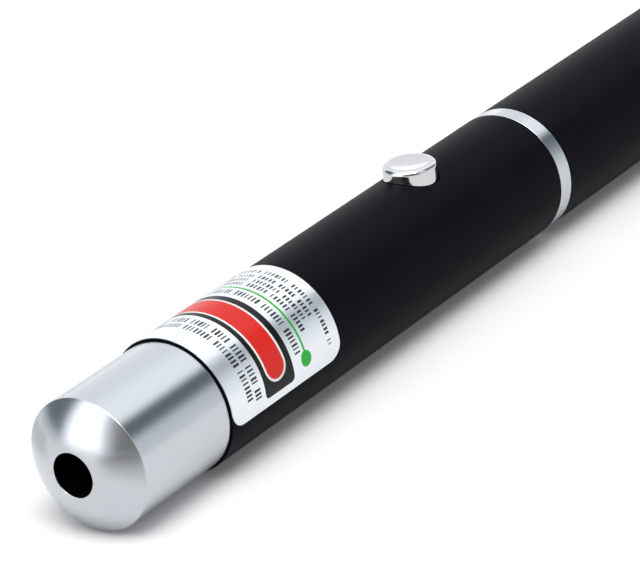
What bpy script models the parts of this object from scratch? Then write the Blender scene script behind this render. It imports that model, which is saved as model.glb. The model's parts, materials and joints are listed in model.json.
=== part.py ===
"""Pen-type laser pointer with a push button, a screw-on rear barrel and a pocket clip.

Metres. +X is the way the beam leaves, +Z is the side of the push button.
The origin is the centre of the tail cap's flat end face, on the pen's axis.
"""

import math

import bmesh
import bpy

MM = 0.001
RIGHT_ANGLE = math.pi / 2

# Clearances
FIT_CLEARANCE = 0.1 * MM
SEAT_GAP = 0.1 * MM
SLIDE_CLEARANCE = 0.12 * MM
NOSE_SEAM = 0.3 * MM
CUT_OVERRUN = 1.0 * MM
EDGE_CHAMFER = 0.15 * MM

# AAA cells, which set the width of the barrels
CELL_RADIUS = 5.25 * MM
CELL_LENGTH = 44.5 * MM
CELL_CAP_RADIUS = 1.9 * MM
CELL_CAP_HEIGHT = 1.0 * MM
CELL_RECESS_DEPTH = 0.5 * MM
CELL_LIP = 0.6 * MM
CELL_EDGE = 0.3 * MM
CELL_CLEARANCE = 0.25 * MM
CELL_COUNT = 2

# Threaded coupler, pressed into the front barrel
COUPLER_WALL = 0.5 * MM
COUPLER_BEHIND_CELL_END = 2.0 * MM
COUPLER_GRIP = 7.5 * MM
COUPLER_LIP = 0.5 * MM
THREAD_PITCH = 1.25 * MM
THREAD_TURNS = 5
THREAD_RISE = 0.3 * MM
THREAD_DEPTH = 0.4 * MM
THREAD_LEAD = 0.5 * MM
THREAD_CLEARANCE = 0.15 * MM

# Barrels and the ring between them
FRONT_WALL = 0.9 * MM
RING_WIDTH = 1.95 * MM
REAR_CELL_CLEARANCE = 0.55 * MM
TAIL_SPIGOT_WALL = 0.6 * MM

# Nose cap
NOSE_LENGTH = 15.2 * MM
NOSE_STEP = 0.22 * MM
NOSE_DOME_RADIUS = 10.0 * MM
NOSE_FRONT_WALL = 2.6 * MM
NOSE_SPIGOT_LENGTH = 5.0 * MM
NOSE_SPIGOT_WALL = 1.0 * MM
APERTURE_RADIUS = 2.28 * MM

# Foil label
LABEL_FROM_BARREL_END = 0.25 * MM
LABEL_LENGTH = 17.4 * MM
LABEL_WRAP = 27.0 * MM
LABEL_CORNER = 1.7 * MM
LABEL_THICKNESS = 0.08 * MM
LABEL_GAP = 0.02 * MM
LABEL_EDGE_ANGLE = math.radians(101)

# Push button
BUTTON_RADIUS = 2.83 * MM
BUTTON_PROUD = 1.32 * MM
BUTTON_EDGE = 0.22 * MM
BUTTON_DISH = 0.1 * MM
BUTTON_TRAVEL = 0.5 * MM
FLANGE_WIDTH = 0.5 * MM
FLANGE_THICKNESS = 0.5 * MM

# Push switch under the button
SWITCH_SIDE = 6.0 * MM
SWITCH_HEIGHT = 3.0 * MM
SWITCH_COVER_THICKNESS = 0.3 * MM
PLUNGER_RADIUS = 1.7 * MM
PLUNGER_MARGIN = 0.3 * MM
SOCKET_ROOM = 0.5 * MM
LEAD_WIDTH = 0.7 * MM
LEAD_LENGTH = 0.9 * MM
LEAD_THICKNESS = 0.3 * MM
LEAD_FROM_EDGE = 0.75 * MM

# Driver board and what is soldered to it
BOARD_THICKNESS = 1.0 * MM
BOARD_EDGE_CLEARANCE = 0.3 * MM
BOARD_MARGIN = 0.8 * MM
BOARD_FRONT_GAP = 1.0 * MM
CHIP_SIZE = (4.9 * MM, 3.9 * MM, 1.5 * MM)
TRIMMER_SIZE = (2.8 * MM, 3.0 * MM, 1.5 * MM)
TRIMMER_SCREW_RADIUS = 0.9 * MM
TRIMMER_SLOT_WIDTH = 0.35 * MM
TRIMMER_SLOT_DEPTH = 0.4 * MM
PART_SPACING = 0.8 * MM
SWITCH_SPACING = 2.1 * MM
CAPACITOR_SIZE = (3.5 * MM, 2.8 * MM, 1.9 * MM)
RESISTOR_SIZE = (1.25 * MM, 2.0 * MM, 0.5 * MM)
RESISTOR_COUNT = 2

# Contacts and their springs
CONTACT_BOARD_THICKNESS = 0.8 * MM
CONTACT_BOARD_CLEARANCE = 0.2 * MM
CONTACT_SPRING_LENGTH = 2.2 * MM
CONTACT_SPRING_BASE = 2.8 * MM
CONTACT_TIP_INSET = 0.4 * MM
CONTACT_SPRING_TURNS = 2.5
CONTACT_WIRE_RADIUS = 0.22 * MM
TAIL_SPRING_LENGTH = 3.8 * MM
TAIL_SPRING_MARGIN = 1.3 * MM
TAIL_SPRING_TIP = 2.0 * MM
TAIL_SPRING_TURNS = 4
TAIL_WIRE_RADIUS = 0.25 * MM

# Tail cap
TAIL_CAP_LENGTH = 5.3 * MM
TAIL_SPIGOT_LENGTH = 4.0 * MM
TAIL_WALL = 2.4 * MM
TAIL_EDGE = 0.8 * MM

# Pocket clip
CLIP_THICKNESS = 0.6 * MM
CLIP_FROM_CAP_EDGE = 1.4 * MM
CLIP_TAB_MARGIN = 0.4 * MM
CLIP_STANDOFF = 2.0 * MM
CLIP_BEND = 1.2 * MM
CLIP_REACH = 38.0 * MM
CLIP_TIP_RADIUS = 2.4 * MM
CLIP_TIP_GAP = 0.3 * MM
CLIP_WIDTH = 4.2 * MM
CLIP_TIP_WIDTH = 3.2 * MM
CLIP_SLOT_CLEARANCE = 0.25 * MM

# Laser module
MODULE_CLEARANCE = 0.2 * MM
MODULE_STANDOFF = 4.4 * MM
MODULE_BODY_LENGTH = 19.5 * MM
LENS_BORE = 3.6 * MM
LENS_BORE_DEPTH = 13.0 * MM
BEAM_BORE = 1.9 * MM
BEAM_BORE_LENGTH = 5.0 * MM
LENS_BARREL_INSET = 0.5 * MM
LENS_BARREL_LENGTH = 9.0 * MM
LENS_BARREL_WALL = 0.5 * MM
LENS_POCKET_DEPTH = 2.4 * MM
LENS_SHOULDER = 0.8 * MM
LENS_THICKNESS = 1.5 * MM
LENS_EDGE_THICKNESS = 0.8 * MM
LENS_RING_WIDTH = 0.6 * MM
LENS_RING_THICKNESS = 0.5 * MM
EXPANDER_THICKNESS = 1.0 * MM
EXPANDER_HOLLOW = 0.3 * MM
CRYSTAL_SIDE = 1.5 * MM
CRYSTAL_LENGTH = 3.0 * MM
CRYSTAL_CLEARANCE = 0.2 * MM
HOLDER_MARGIN = 0.5 * MM
DIODE_CAN_RADIUS = 1.75 * MM
DIODE_CAN_LENGTH = 2.3 * MM
DIODE_FLANGE_RADIUS = 2.8 * MM
DIODE_FLANGE_THICKNESS = 1.2 * MM
SLEEVE_WALL = 1.1 * MM
SLEEVE_SKIRT = 2.5 * MM
DIODE_LEAD_RADIUS = 0.22 * MM
DIODE_LEAD_CIRCLE = 1.0 * MM
DIODE_LEAD_BEND = 2.0 * MM
DIODE_LEAD_LAP = 2.0 * MM

# Numbers of facets
BARREL_STEPS = 64
SMALL_STEPS = 32
BUTTON_STEPS = 48
DOME_STEPS = 9
ROUND_STEPS = 4
THREAD_STEPS = 32
ROWS_PER_PITCH = 4
CURL_POINTS = 10
LABEL_STEP = math.radians(5.625)

# Radii, from the cell outwards
COUPLER_BORE = CELL_RADIUS + CELL_CLEARANCE
COUPLER_RADIUS = COUPLER_BORE + COUPLER_WALL
FRONT_BORE = COUPLER_RADIUS + FIT_CLEARANCE
BARREL_RADIUS = FRONT_BORE + FRONT_WALL
THREAD_CREST = COUPLER_RADIUS + THREAD_RISE
REAR_BORE = CELL_RADIUS + REAR_CELL_CLEARANCE
TAIL_SPIGOT_RADIUS = COUPLER_BORE + TAIL_SPIGOT_WALL
NOSE_RADIUS = BARREL_RADIUS - NOSE_STEP
NOSE_SPIGOT_RADIUS = FRONT_BORE - FIT_CLEARANCE
NOSE_BORE = NOSE_SPIGOT_RADIUS - NOSE_SPIGOT_WALL
MODULE_RADIUS = FRONT_BORE - MODULE_CLEARANCE
MODULE_NECK_RADIUS = NOSE_BORE - MODULE_CLEARANCE
FLANGE_BORE = DIODE_FLANGE_RADIUS + FIT_CLEARANCE
SLEEVE_RADIUS = FLANGE_BORE + SLEEVE_WALL
DIODE_BORE = SLEEVE_RADIUS + FIT_CLEARANCE
HOLDER_BORE = CRYSTAL_SIDE / math.sqrt(2) + CRYSTAL_CLEARANCE

# Places behind the nose's front edge, along the axis
MODULE_AT = NOSE_FRONT_WALL + MODULE_STANDOFF
MODULE_BODY_AT = NOSE_LENGTH + NOSE_SPIGOT_LENGTH + NOSE_SEAM
MODULE_END = MODULE_BODY_AT + MODULE_BODY_LENGTH
BOARD_AT = MODULE_END + BOARD_FRONT_GAP
CHIP_AT = BOARD_AT + DIODE_LEAD_LAP + PART_SPACING
TRIMMER_AT = CHIP_AT + CHIP_SIZE[0] + PART_SPACING
SWITCH_AT = TRIMMER_AT + TRIMMER_SIZE[0] + SWITCH_SPACING
BUTTON_BEHIND_NOSE = SWITCH_AT + SWITCH_SIDE / 2
BOARD_END = SWITCH_AT + SWITCH_SIDE + BOARD_MARGIN
CONTACT_BOARD_AT = BOARD_END + SEAT_GAP
CONTACT_SPRING_AT = CONTACT_BOARD_AT + CONTACT_BOARD_THICKNESS + SEAT_GAP
CELLS_AT = CONTACT_SPRING_AT + CONTACT_SPRING_LENGTH + SEAT_GAP
COUPLER_AT = CELLS_AT + COUPLER_BEHIND_CELL_END
FRONT_BARREL_AT = NOSE_LENGTH + NOSE_SEAM
FRONT_BARREL_END = COUPLER_AT + COUPLER_GRIP
FRONT_BARREL_LENGTH = FRONT_BARREL_END - FRONT_BARREL_AT
RING_AT = FRONT_BARREL_END + SEAT_GAP
REAR_BARREL_AT = RING_AT + RING_WIDTH + SEAT_GAP
THREAD_AT = REAR_BARREL_AT + THREAD_LEAD
THREAD_LENGTH = THREAD_PITCH * THREAD_TURNS
COUPLER_END = THREAD_AT + THREAD_LENGTH + COUPLER_LIP
CELL_STEP = CELL_LENGTH + SEAT_GAP
TAIL_SPRING_AT = CELLS_AT + CELL_STEP * CELL_COUNT
TAIL_FLOOR_AT = TAIL_SPRING_AT + TAIL_SPRING_LENGTH + SEAT_GAP
OVERALL_LENGTH = TAIL_FLOOR_AT + TAIL_WALL
TAIL_CAP_AT = OVERALL_LENGTH - TAIL_CAP_LENGTH
TAIL_SPIGOT_AT = TAIL_CAP_AT - TAIL_SPIGOT_LENGTH
REAR_BARREL_END = TAIL_CAP_AT - SEAT_GAP
CLIP_FROM_TAIL = TAIL_CAP_LENGTH - CLIP_FROM_CAP_EDGE
HOLDER_LENGTH = CRYSTAL_LENGTH + 2 * HOLDER_MARGIN

# Heights of the button and of what is stacked under it, from the axis
BUTTON_TOP = BARREL_RADIUS + BUTTON_PROUD
FLANGE_RADIUS = BUTTON_RADIUS + FLANGE_WIDTH
FLANGE_TOP = math.sqrt(FRONT_BORE**2 - FLANGE_RADIUS**2) - SLIDE_CLEARANCE
FLANGE_BOTTOM = FLANGE_TOP - FLANGE_THICKNESS
PLUNGER_TOP = FLANGE_BOTTOM - SEAT_GAP
SWITCH_COVER_TOP = PLUNGER_TOP - BUTTON_TRAVEL - PLUNGER_MARGIN
SWITCH_TOP = SWITCH_COVER_TOP - SWITCH_COVER_THICKNESS - SEAT_GAP
PLUNGER_BOTTOM = SWITCH_TOP - PLUNGER_MARGIN
SOCKET_BOTTOM = PLUNGER_BOTTOM - BUTTON_TRAVEL - SOCKET_ROOM
SWITCH_BOTTOM = SWITCH_TOP - SWITCH_HEIGHT
BOARD_TOP = SWITCH_BOTTOM - SEAT_GAP
BOARD_BOTTOM = BOARD_TOP - BOARD_THICKNESS

# Colour, roughness and metallic value of each finish
FINISHES = {
    "satin_chrome": ((0.74, 0.77, 0.80), 0.28, 1.0),
    "polished_chrome": ((0.88, 0.89, 0.90), 0.08, 1.0),
    "black_paint": ((0.012, 0.012, 0.016), 0.42, 0.0),
    "silver_foil": ((0.80, 0.83, 0.86), 0.32, 0.8),
    "brass": ((0.72, 0.55, 0.25), 0.35, 1.0),
    "steel": ((0.62, 0.63, 0.65), 0.3, 1.0),
    "spring_steel": ((0.70, 0.71, 0.72), 0.25, 1.0),
    "lens_glass": ((0.80, 0.90, 0.88), 0.05, 0.0),
    "crystal": ((0.62, 0.45, 0.80), 0.1, 0.0),
    "board_green": ((0.03, 0.22, 0.09), 0.5, 0.0),
    "part_black": ((0.02, 0.02, 0.02), 0.55, 0.0),
    "part_blue": ((0.05, 0.12, 0.45), 0.5, 0.0),
    "part_yellow": ((0.75, 0.45, 0.06), 0.5, 0.0),
    "cell_sleeve": ((0.10, 0.22, 0.30), 0.35, 0.0),
    "cell_washer": ((0.85, 0.85, 0.82), 0.6, 0.0),
}


def clear_scene():
    for obj in list(bpy.data.objects):
        bpy.data.objects.remove(obj, do_unlink=True)


def new_collection(name):
    collection = bpy.data.collections.new(name)
    bpy.context.scene.collection.children.link(collection)
    return collection


def make_finishes():
    finishes = {}
    for name, (colour, roughness, metallic) in FINISHES.items():
        material = bpy.data.materials.new(name)
        material.use_nodes = True
        shader = material.node_tree.nodes["Principled BSDF"]
        shader.inputs["Base Color"].default_value = (*colour, 1.0)
        shader.inputs["Roughness"].default_value = roughness
        shader.inputs["Metallic"].default_value = metallic
        material.diffuse_color = (*colour, 1.0)
        finishes[name] = material
    return finishes


clear_scene()
PARTS = new_collection("laser_pointer")
CUTTERS = new_collection("laser_pointer_cutters")
MATERIALS = make_finishes()


def along_axis(behind_nose):
    """World X of a place that lies this far behind the nose's front edge."""
    return OVERALL_LENGTH - behind_nose


def link(obj, finish, parent, location=(0, 0, 0)):
    PARTS.objects.link(obj)
    obj.data.materials.append(MATERIALS[finish])
    obj.parent = parent
    obj.location = location
    return obj


def empty(name, location=(0, 0, 0), rotation=(0, 0, 0), parent=None):
    pivot = bpy.data.objects.new(name, None)
    pivot.empty_display_size = BARREL_RADIUS
    pivot.location = location
    pivot.rotation_euler = rotation
    pivot.parent = parent
    PARTS.objects.link(pivot)
    return pivot


def mesh_object(name, bm):
    mesh = bpy.data.meshes.new(name)
    bm.to_mesh(mesh)
    bm.free()
    return bpy.data.objects.new(name, mesh)


def profile_mesh(name, profile, closed):
    """A profile of (radius, distance behind the front) points in the XZ plane, as wire edges."""
    bm = bmesh.new()
    verts = [bm.verts.new((radius, 0, -behind)) for radius, behind in profile]
    for first, second in zip(verts, verts[1:]):
        bm.edges.new((first, second))
    if closed:
        bm.edges.new((verts[-1], verts[0]))
    return mesh_object(name, bm)


def add_screw(obj, steps):
    screw = obj.modifiers.new("turn", "SCREW")
    screw.axis = "Z"
    screw.steps = steps
    screw.render_steps = steps
    screw.use_merge_vertices = True
    screw.merge_threshold = SEAT_GAP / 100
    screw.use_smooth_shade = True


def turned(name, behind_nose, profile, steps, finish, parent, closed=True):
    """A part turned about the pen's axis. Its profile runs down the outer side, front to back."""
    obj = profile_mesh(name, profile, closed)
    add_screw(obj, steps)
    obj.rotation_euler = (0, RIGHT_ANGLE, 0)
    return link(obj, finish, parent, (along_axis(behind_nose), 0, 0))


def upright(name, profile, steps, finish, parent, closed=False):
    """A part turned about the button's axis. Its profile holds (radius, height) points."""
    obj = profile_mesh(name, [(radius, -height) for radius, height in profile], closed)
    add_screw(obj, steps)
    return link(obj, finish, parent)


def box_mesh(name, size):
    bm = bmesh.new()
    bmesh.ops.create_cube(bm, size=1)
    bmesh.ops.scale(bm, vec=size, verts=bm.verts)
    return mesh_object(name, bm)


def box(name, size, centre, finish, parent):
    return link(box_mesh(name, size), finish, parent, centre)


def cylinder_mesh(name, radius, depth, steps):
    bm = bmesh.new()
    bmesh.ops.create_cone(
        bm, cap_ends=True, segments=steps, radius1=radius, radius2=radius, depth=depth
    )
    return mesh_object(name, bm)


def cutter(obj, location, parent=None):
    obj.hide_render = True
    obj.display_type = "WIRE"
    obj.location = location
    obj.parent = parent
    CUTTERS.objects.link(obj)
    return obj


def combine(obj, tool, operation):
    boolean = obj.modifiers.new(tool.name, "BOOLEAN")
    boolean.operation = operation
    boolean.object = tool


def wire(name, points, radius, finish, parent):
    """A round wire along points, with closed ends."""
    curve = bpy.data.curves.new(name, "CURVE")
    curve.dimensions = "3D"
    curve.bevel_depth = radius
    curve.bevel_resolution = 1
    curve.use_fill_caps = True
    spline = curve.splines.new("POLY")
    spline.points.add(len(points) - 1)
    for point, place in zip(spline.points, points):
        point.co = (*place, 1)
    return link(bpy.data.objects.new(name, curve), finish, parent)


def cone_coil(start_x, length, base, tip, turns, wire_radius):
    """Centre line of a conical spring along X: its base at start_x, its tip length further."""
    count = round(turns * CURL_POINTS)
    run = abs(length) - 2 * wire_radius
    points = []
    for step in range(count + 1):
        share = step / count
        angle = 2 * math.pi * turns * share
        radius = base + (tip - base) * share
        offset = math.copysign(wire_radius + run * share, length)
        points.append((start_x + offset, radius * math.cos(angle), radius * math.sin(angle)))
    return points


def least_coil_gap(points, wire_radius):
    """Least space between a coil's neighbouring turns."""
    pairs = zip(points, points[CURL_POINTS:])
    return min(math.dist(first, second) for first, second in pairs) - 2 * wire_radius


def strip(name, path, half_widths):
    """A sheet strip along (x, z) points, as wide as twice half_widths at each."""
    bm = bmesh.new()
    bmesh.ops.create_grid(bm, x_segments=len(path) - 1, y_segments=1, size=1)
    for vert in bm.verts:
        row = round((vert.co.x + 1) / 2 * (len(path) - 1))
        x, z = path[row]
        vert.co = (x, vert.co.y * half_widths[row], z)
    return mesh_object(name, bm)


def arc(centre, radius, start, end, steps):
    """Points on an arc in the (x, z) plane, angles from +X towards +Z."""
    angles = [start + (end - start) * step / steps for step in range(steps + 1)]
    return [
        (centre[0] + radius * math.cos(angle), centre[1] + radius * math.sin(angle))
        for angle in angles
    ]


def tube_profile(outer, inner, length, chamfer=0.0):
    """Profile of a plain tube with both outer edges chamfered."""
    return [
        (outer - chamfer, 0),
        (outer, chamfer),
        (outer, length - chamfer),
        (outer - chamfer, length),
        (inner, length),
        (inner, 0),
    ] if chamfer else [(outer, 0), (outer, length), (inner, length), (inner, 0)]


def nose_cap(parent):
    """Domed cap with the beam's aperture, and a spigot that sits in the front barrel."""
    def dome_depth(radius):
        edge = math.sqrt(NOSE_DOME_RADIUS**2 - APERTURE_RADIUS**2)
        return edge - math.sqrt(NOSE_DOME_RADIUS**2 - radius**2)

    rim = NOSE_RADIUS - EDGE_CHAMFER
    span = rim - APERTURE_RADIUS
    dome = [APERTURE_RADIUS + span * step / DOME_STEPS for step in range(DOME_STEPS + 1)]
    spigot_end = NOSE_LENGTH + NOSE_SPIGOT_LENGTH
    profile = [(radius, dome_depth(radius)) for radius in dome]
    profile += [
        (NOSE_RADIUS, dome_depth(rim) + EDGE_CHAMFER * 2),
        (NOSE_RADIUS, NOSE_LENGTH),
        (NOSE_SPIGOT_RADIUS, NOSE_LENGTH),
        (NOSE_SPIGOT_RADIUS, spigot_end - EDGE_CHAMFER),
        (NOSE_SPIGOT_RADIUS - EDGE_CHAMFER, spigot_end),
        (NOSE_BORE, spigot_end),
        (NOSE_BORE, NOSE_FRONT_WALL),
        (APERTURE_RADIUS, NOSE_FRONT_WALL),
    ]
    turned("nose_cap", 0, profile, BARREL_STEPS, "satin_chrome", parent)


def front_barrel(parent):
    """Painted tube with the button's hole."""
    profile = tube_profile(BARREL_RADIUS, FRONT_BORE, FRONT_BARREL_LENGTH, EDGE_CHAMFER)
    barrel = turned("front_barrel", FRONT_BARREL_AT, profile, BARREL_STEPS, "black_paint", parent)
    hole = cylinder_mesh(
        "button_hole_cutter",
        BUTTON_RADIUS + SLIDE_CLEARANCE,
        BUTTON_TOP - FLANGE_TOP,
        BUTTON_STEPS,
    )
    middle = (BUTTON_TOP + FLANGE_TOP) / 2
    combine(barrel, cutter(hole, (along_axis(BUTTON_BEHIND_NOSE), 0, middle)), "DIFFERENCE")


def foil_label(parent):
    """Thin sheet with rounded corners, bent round the front barrel over its top."""
    radius = BARREL_RADIUS + LABEL_GAP
    corner = [step * RIGHT_ANGLE / ROUND_STEPS for step in range(ROUND_STEPS)]
    start = [LABEL_CORNER * (1 - math.cos(angle)) for angle in corner]
    straight = LABEL_WRAP - 2 * LABEL_CORNER
    rows = math.ceil(straight / radius / LABEL_STEP)
    middle = [LABEL_CORNER + straight * step / rows for step in range(rows + 1)]
    end = [LABEL_WRAP - place for place in reversed(start)]
    places = start + middle + end

    def half_length(place):
        inset = max(LABEL_CORNER - min(place, LABEL_WRAP - place), 0)
        return LABEL_LENGTH / 2 - LABEL_CORNER + math.sqrt(LABEL_CORNER**2 - inset**2)

    bm = bmesh.new()
    bmesh.ops.create_grid(bm, x_segments=1, y_segments=len(places) - 1, size=1)
    for vert in bm.verts:
        place = places[round((vert.co.y + 1) / 2 * (len(places) - 1))]
        angle = LABEL_EDGE_ANGLE - place / radius
        vert.co = (
            vert.co.x * half_length(place),
            radius * math.sin(angle),
            radius * math.cos(angle),
        )
    bmesh.ops.reverse_faces(bm, faces=bm.faces)
    label = mesh_object("foil_label", bm)
    solidify = label.modifiers.new("thickness", "SOLIDIFY")
    solidify.thickness = LABEL_THICKNESS
    solidify.offset = 1
    centre = FRONT_BARREL_AT + LABEL_FROM_BARREL_END + LABEL_LENGTH / 2
    link(label, "silver_foil", parent, (along_axis(centre), 0, 0))


def middle_ring(parent):
    """Silver ring that shows between the two barrels."""
    inner = COUPLER_RADIUS + FIT_CLEARANCE
    profile = tube_profile(BARREL_RADIUS, inner, RING_WIDTH, EDGE_CHAMFER / 3)
    turned("middle_ring", RING_AT, profile, BARREL_STEPS, "satin_chrome", parent)


def cut_thread(obj):
    """Moves the outer points of the coupler's threaded length in and out along one helix."""
    for vert in obj.data.vertices:
        radius = math.hypot(vert.co.x, vert.co.y)
        behind = COUPLER_AT - vert.co.z
        place = behind - THREAD_AT
        if radius < COUPLER_RADIUS + THREAD_RISE / 2 or not 0 < place < THREAD_LENGTH:
            continue
        turn = math.atan2(vert.co.y, vert.co.x) / (2 * math.pi)
        phase = (place / THREAD_PITCH - turn) % 1
        depth = THREAD_DEPTH * (1 - abs(2 * phase - 1))
        fade = min(place, THREAD_LENGTH - place) / THREAD_PITCH
        new_radius = THREAD_CREST - depth * min(fade * 2, 1)
        vert.co.x *= new_radius / radius
        vert.co.y *= new_radius / radius


def threaded_coupler(parent):
    """Sleeve that is pressed into the front barrel and carries the rear barrel's thread."""
    length = COUPLER_END - COUPLER_AT
    thread_start = THREAD_AT - COUPLER_AT
    rows = THREAD_TURNS * ROWS_PER_PITCH
    thread = [
        (THREAD_CREST, thread_start + THREAD_LENGTH * row / rows) for row in range(rows + 1)
    ]
    profile = [(COUPLER_RADIUS, 0), (COUPLER_RADIUS, thread_start), *thread]
    profile += [
        (COUPLER_RADIUS, length - COUPLER_LIP / 2),
        (COUPLER_RADIUS, length),
        (COUPLER_BORE, length),
        (COUPLER_BORE, 0),
    ]
    coupler = turned(
        "threaded_coupler", COUPLER_AT, profile, THREAD_STEPS, "brass", parent
    )
    bake(coupler)
    cut_thread(coupler)


def rear_barrel(parent):
    """Painted tube for the cells, with a thread bore in front and the tail cap's seat behind."""
    length = REAR_BARREL_END - REAR_BARREL_AT
    thread_bore = THREAD_CREST + THREAD_CLEARANCE
    thread_depth = COUPLER_END + SEAT_GAP - REAR_BARREL_AT
    tail_bore = TAIL_SPIGOT_RADIUS + FIT_CLEARANCE
    tail_seat = TAIL_SPIGOT_AT - SEAT_GAP - REAR_BARREL_AT
    profile = [
        (BARREL_RADIUS - EDGE_CHAMFER, 0),
        (BARREL_RADIUS, EDGE_CHAMFER),
        (BARREL_RADIUS, length - EDGE_CHAMFER),
        (BARREL_RADIUS - EDGE_CHAMFER, length),
        (tail_bore, length),
        (tail_bore, tail_seat),
        (REAR_BORE, tail_seat),
        (REAR_BORE, thread_depth),
        (thread_bore, thread_depth),
        (thread_bore, 0),
    ]
    turned("rear_barrel", REAR_BARREL_AT, profile, BARREL_STEPS, "black_paint", parent)


def tail_cap(parent, clip_turn):
    """Cup that closes the rear barrel, with the pocket clip's slot in its side."""
    length = OVERALL_LENGTH - TAIL_SPIGOT_AT
    floor = TAIL_FLOOR_AT - TAIL_SPIGOT_AT
    edge = [
        (
            BARREL_RADIUS - TAIL_EDGE * (1 - math.cos(step * RIGHT_ANGLE / ROUND_STEPS)),
            length - TAIL_EDGE * (1 - math.sin(step * RIGHT_ANGLE / ROUND_STEPS)),
        )
        for step in range(ROUND_STEPS + 1)
    ]
    profile = [
        (0, floor),
        (COUPLER_BORE, floor),
        (COUPLER_BORE, 0),
        (TAIL_SPIGOT_RADIUS, 0),
        (TAIL_SPIGOT_RADIUS, TAIL_SPIGOT_LENGTH),
        (BARREL_RADIUS - EDGE_CHAMFER, TAIL_SPIGOT_LENGTH),
        (BARREL_RADIUS, TAIL_SPIGOT_LENGTH + EDGE_CHAMFER),
        *edge,
        (0, length),
    ]
    cap = turned(
        "tail_cap", TAIL_SPIGOT_AT, profile, BARREL_STEPS, "satin_chrome", parent, closed=False
    )
    slot_size = (
        CLIP_THICKNESS + 2 * CLIP_SLOT_CLEARANCE,
        CLIP_TIP_WIDTH + 2 * CLIP_SLOT_CLEARANCE,
        BARREL_RADIUS - COUPLER_BORE + 2 * CUT_OVERRUN,
    )
    slot = cutter(box_mesh("clip_slot_cutter", slot_size), (0, 0, 0))
    height = (BARREL_RADIUS + COUPLER_BORE) / 2
    slot.rotation_euler = (clip_turn, 0, 0)
    slot.location = (
        CLIP_FROM_TAIL,
        -height * math.sin(clip_turn),
        height * math.cos(clip_turn),
    )
    combine(cap, slot, "DIFFERENCE")


def clip_arm_height():
    """Height of the clip arm's middle surface above the pen's axis, at its root."""
    return BARREL_RADIUS + CLIP_STANDOFF + CLIP_THICKNESS / 2


def clip_rest_turn():
    """Turn of the clip about the axis at which its arm and the barrel touch one table."""
    outer = clip_arm_height() + CLIP_THICKNESS / 2
    corner = math.hypot(outer, CLIP_WIDTH / 2)
    from_below = math.acos(BARREL_RADIUS / corner) + math.atan2(CLIP_WIDTH / 2, outer)
    return math.pi - from_below


def pocket_clip(parent):
    """Bent steel strip: a tab in the tail cap's slot, an arm along the barrel and a curled tip."""
    arm = clip_arm_height() - BARREL_RADIUS
    tab = BARREL_RADIUS - COUPLER_BORE - CLIP_TAB_MARGIN
    tip_height = CLIP_TIP_GAP + CLIP_THICKNESS / 2
    bend = arc((CLIP_BEND, arm - CLIP_BEND), CLIP_BEND, math.pi, RIGHT_ANGLE, ROUND_STEPS)
    curl_centre = (CLIP_REACH, tip_height + CLIP_TIP_RADIUS)
    fall = math.radians(28)
    curl = arc(
        curl_centre,
        CLIP_TIP_RADIUS,
        -RIGHT_ANGLE - fall,
        -RIGHT_ANGLE + 2 * fall,
        ROUND_STEPS + 2,
    )
    neck = (curl[0][0] - (arm - curl[0][1]) / math.tan(fall), arm)
    path = [(0, -tab), *bend, neck, *curl]
    widths = []
    for x, z in path:
        if z < arm - CLIP_BEND / 2 and x < CLIP_BEND:
            widths.append(CLIP_TIP_WIDTH / 2)
            continue
        share = min(max((x - CLIP_BEND) / (CLIP_REACH - CLIP_BEND), 0), 1)
        widths.append((CLIP_WIDTH + (CLIP_TIP_WIDTH - CLIP_WIDTH) * share) / 2)
    clip = strip("pocket_clip", path, widths)
    solidify = clip.modifiers.new("thickness", "SOLIDIFY")
    solidify.thickness = CLIP_THICKNESS
    solidify.offset = 0
    solidify.use_even_offset = True
    link(clip, "steel", parent)


def button_cap(parent):
    """Polished cap with a dished top and a flange that keeps it in the barrel."""
    profile = [
        (0, BUTTON_TOP - BUTTON_DISH),
        (BUTTON_RADIUS - 3 * BUTTON_EDGE, BUTTON_TOP - BUTTON_DISH),
        (BUTTON_RADIUS - 2 * BUTTON_EDGE, BUTTON_TOP),
    ]
    profile += [
        (
            BUTTON_RADIUS - BUTTON_EDGE * (1 - math.sin(step * RIGHT_ANGLE / ROUND_STEPS)),
            BUTTON_TOP - BUTTON_EDGE * (1 - math.cos(step * RIGHT_ANGLE / ROUND_STEPS)),
        )
        for step in range(ROUND_STEPS + 1)
    ]
    profile += [
        (BUTTON_RADIUS, FLANGE_TOP),
        (FLANGE_RADIUS, FLANGE_TOP),
        (FLANGE_RADIUS, FLANGE_BOTTOM),
        (0, FLANGE_BOTTOM),
    ]
    upright("button_cap", profile, BUTTON_STEPS, "polished_chrome", parent)


def switch_plunger(parent):
    profile = [
        (0, PLUNGER_TOP),
        (PLUNGER_RADIUS, PLUNGER_TOP),
        (PLUNGER_RADIUS, PLUNGER_BOTTOM),
        (0, PLUNGER_BOTTOM),
    ]
    upright("switch_plunger", profile, SMALL_STEPS, "part_black", parent)


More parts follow.
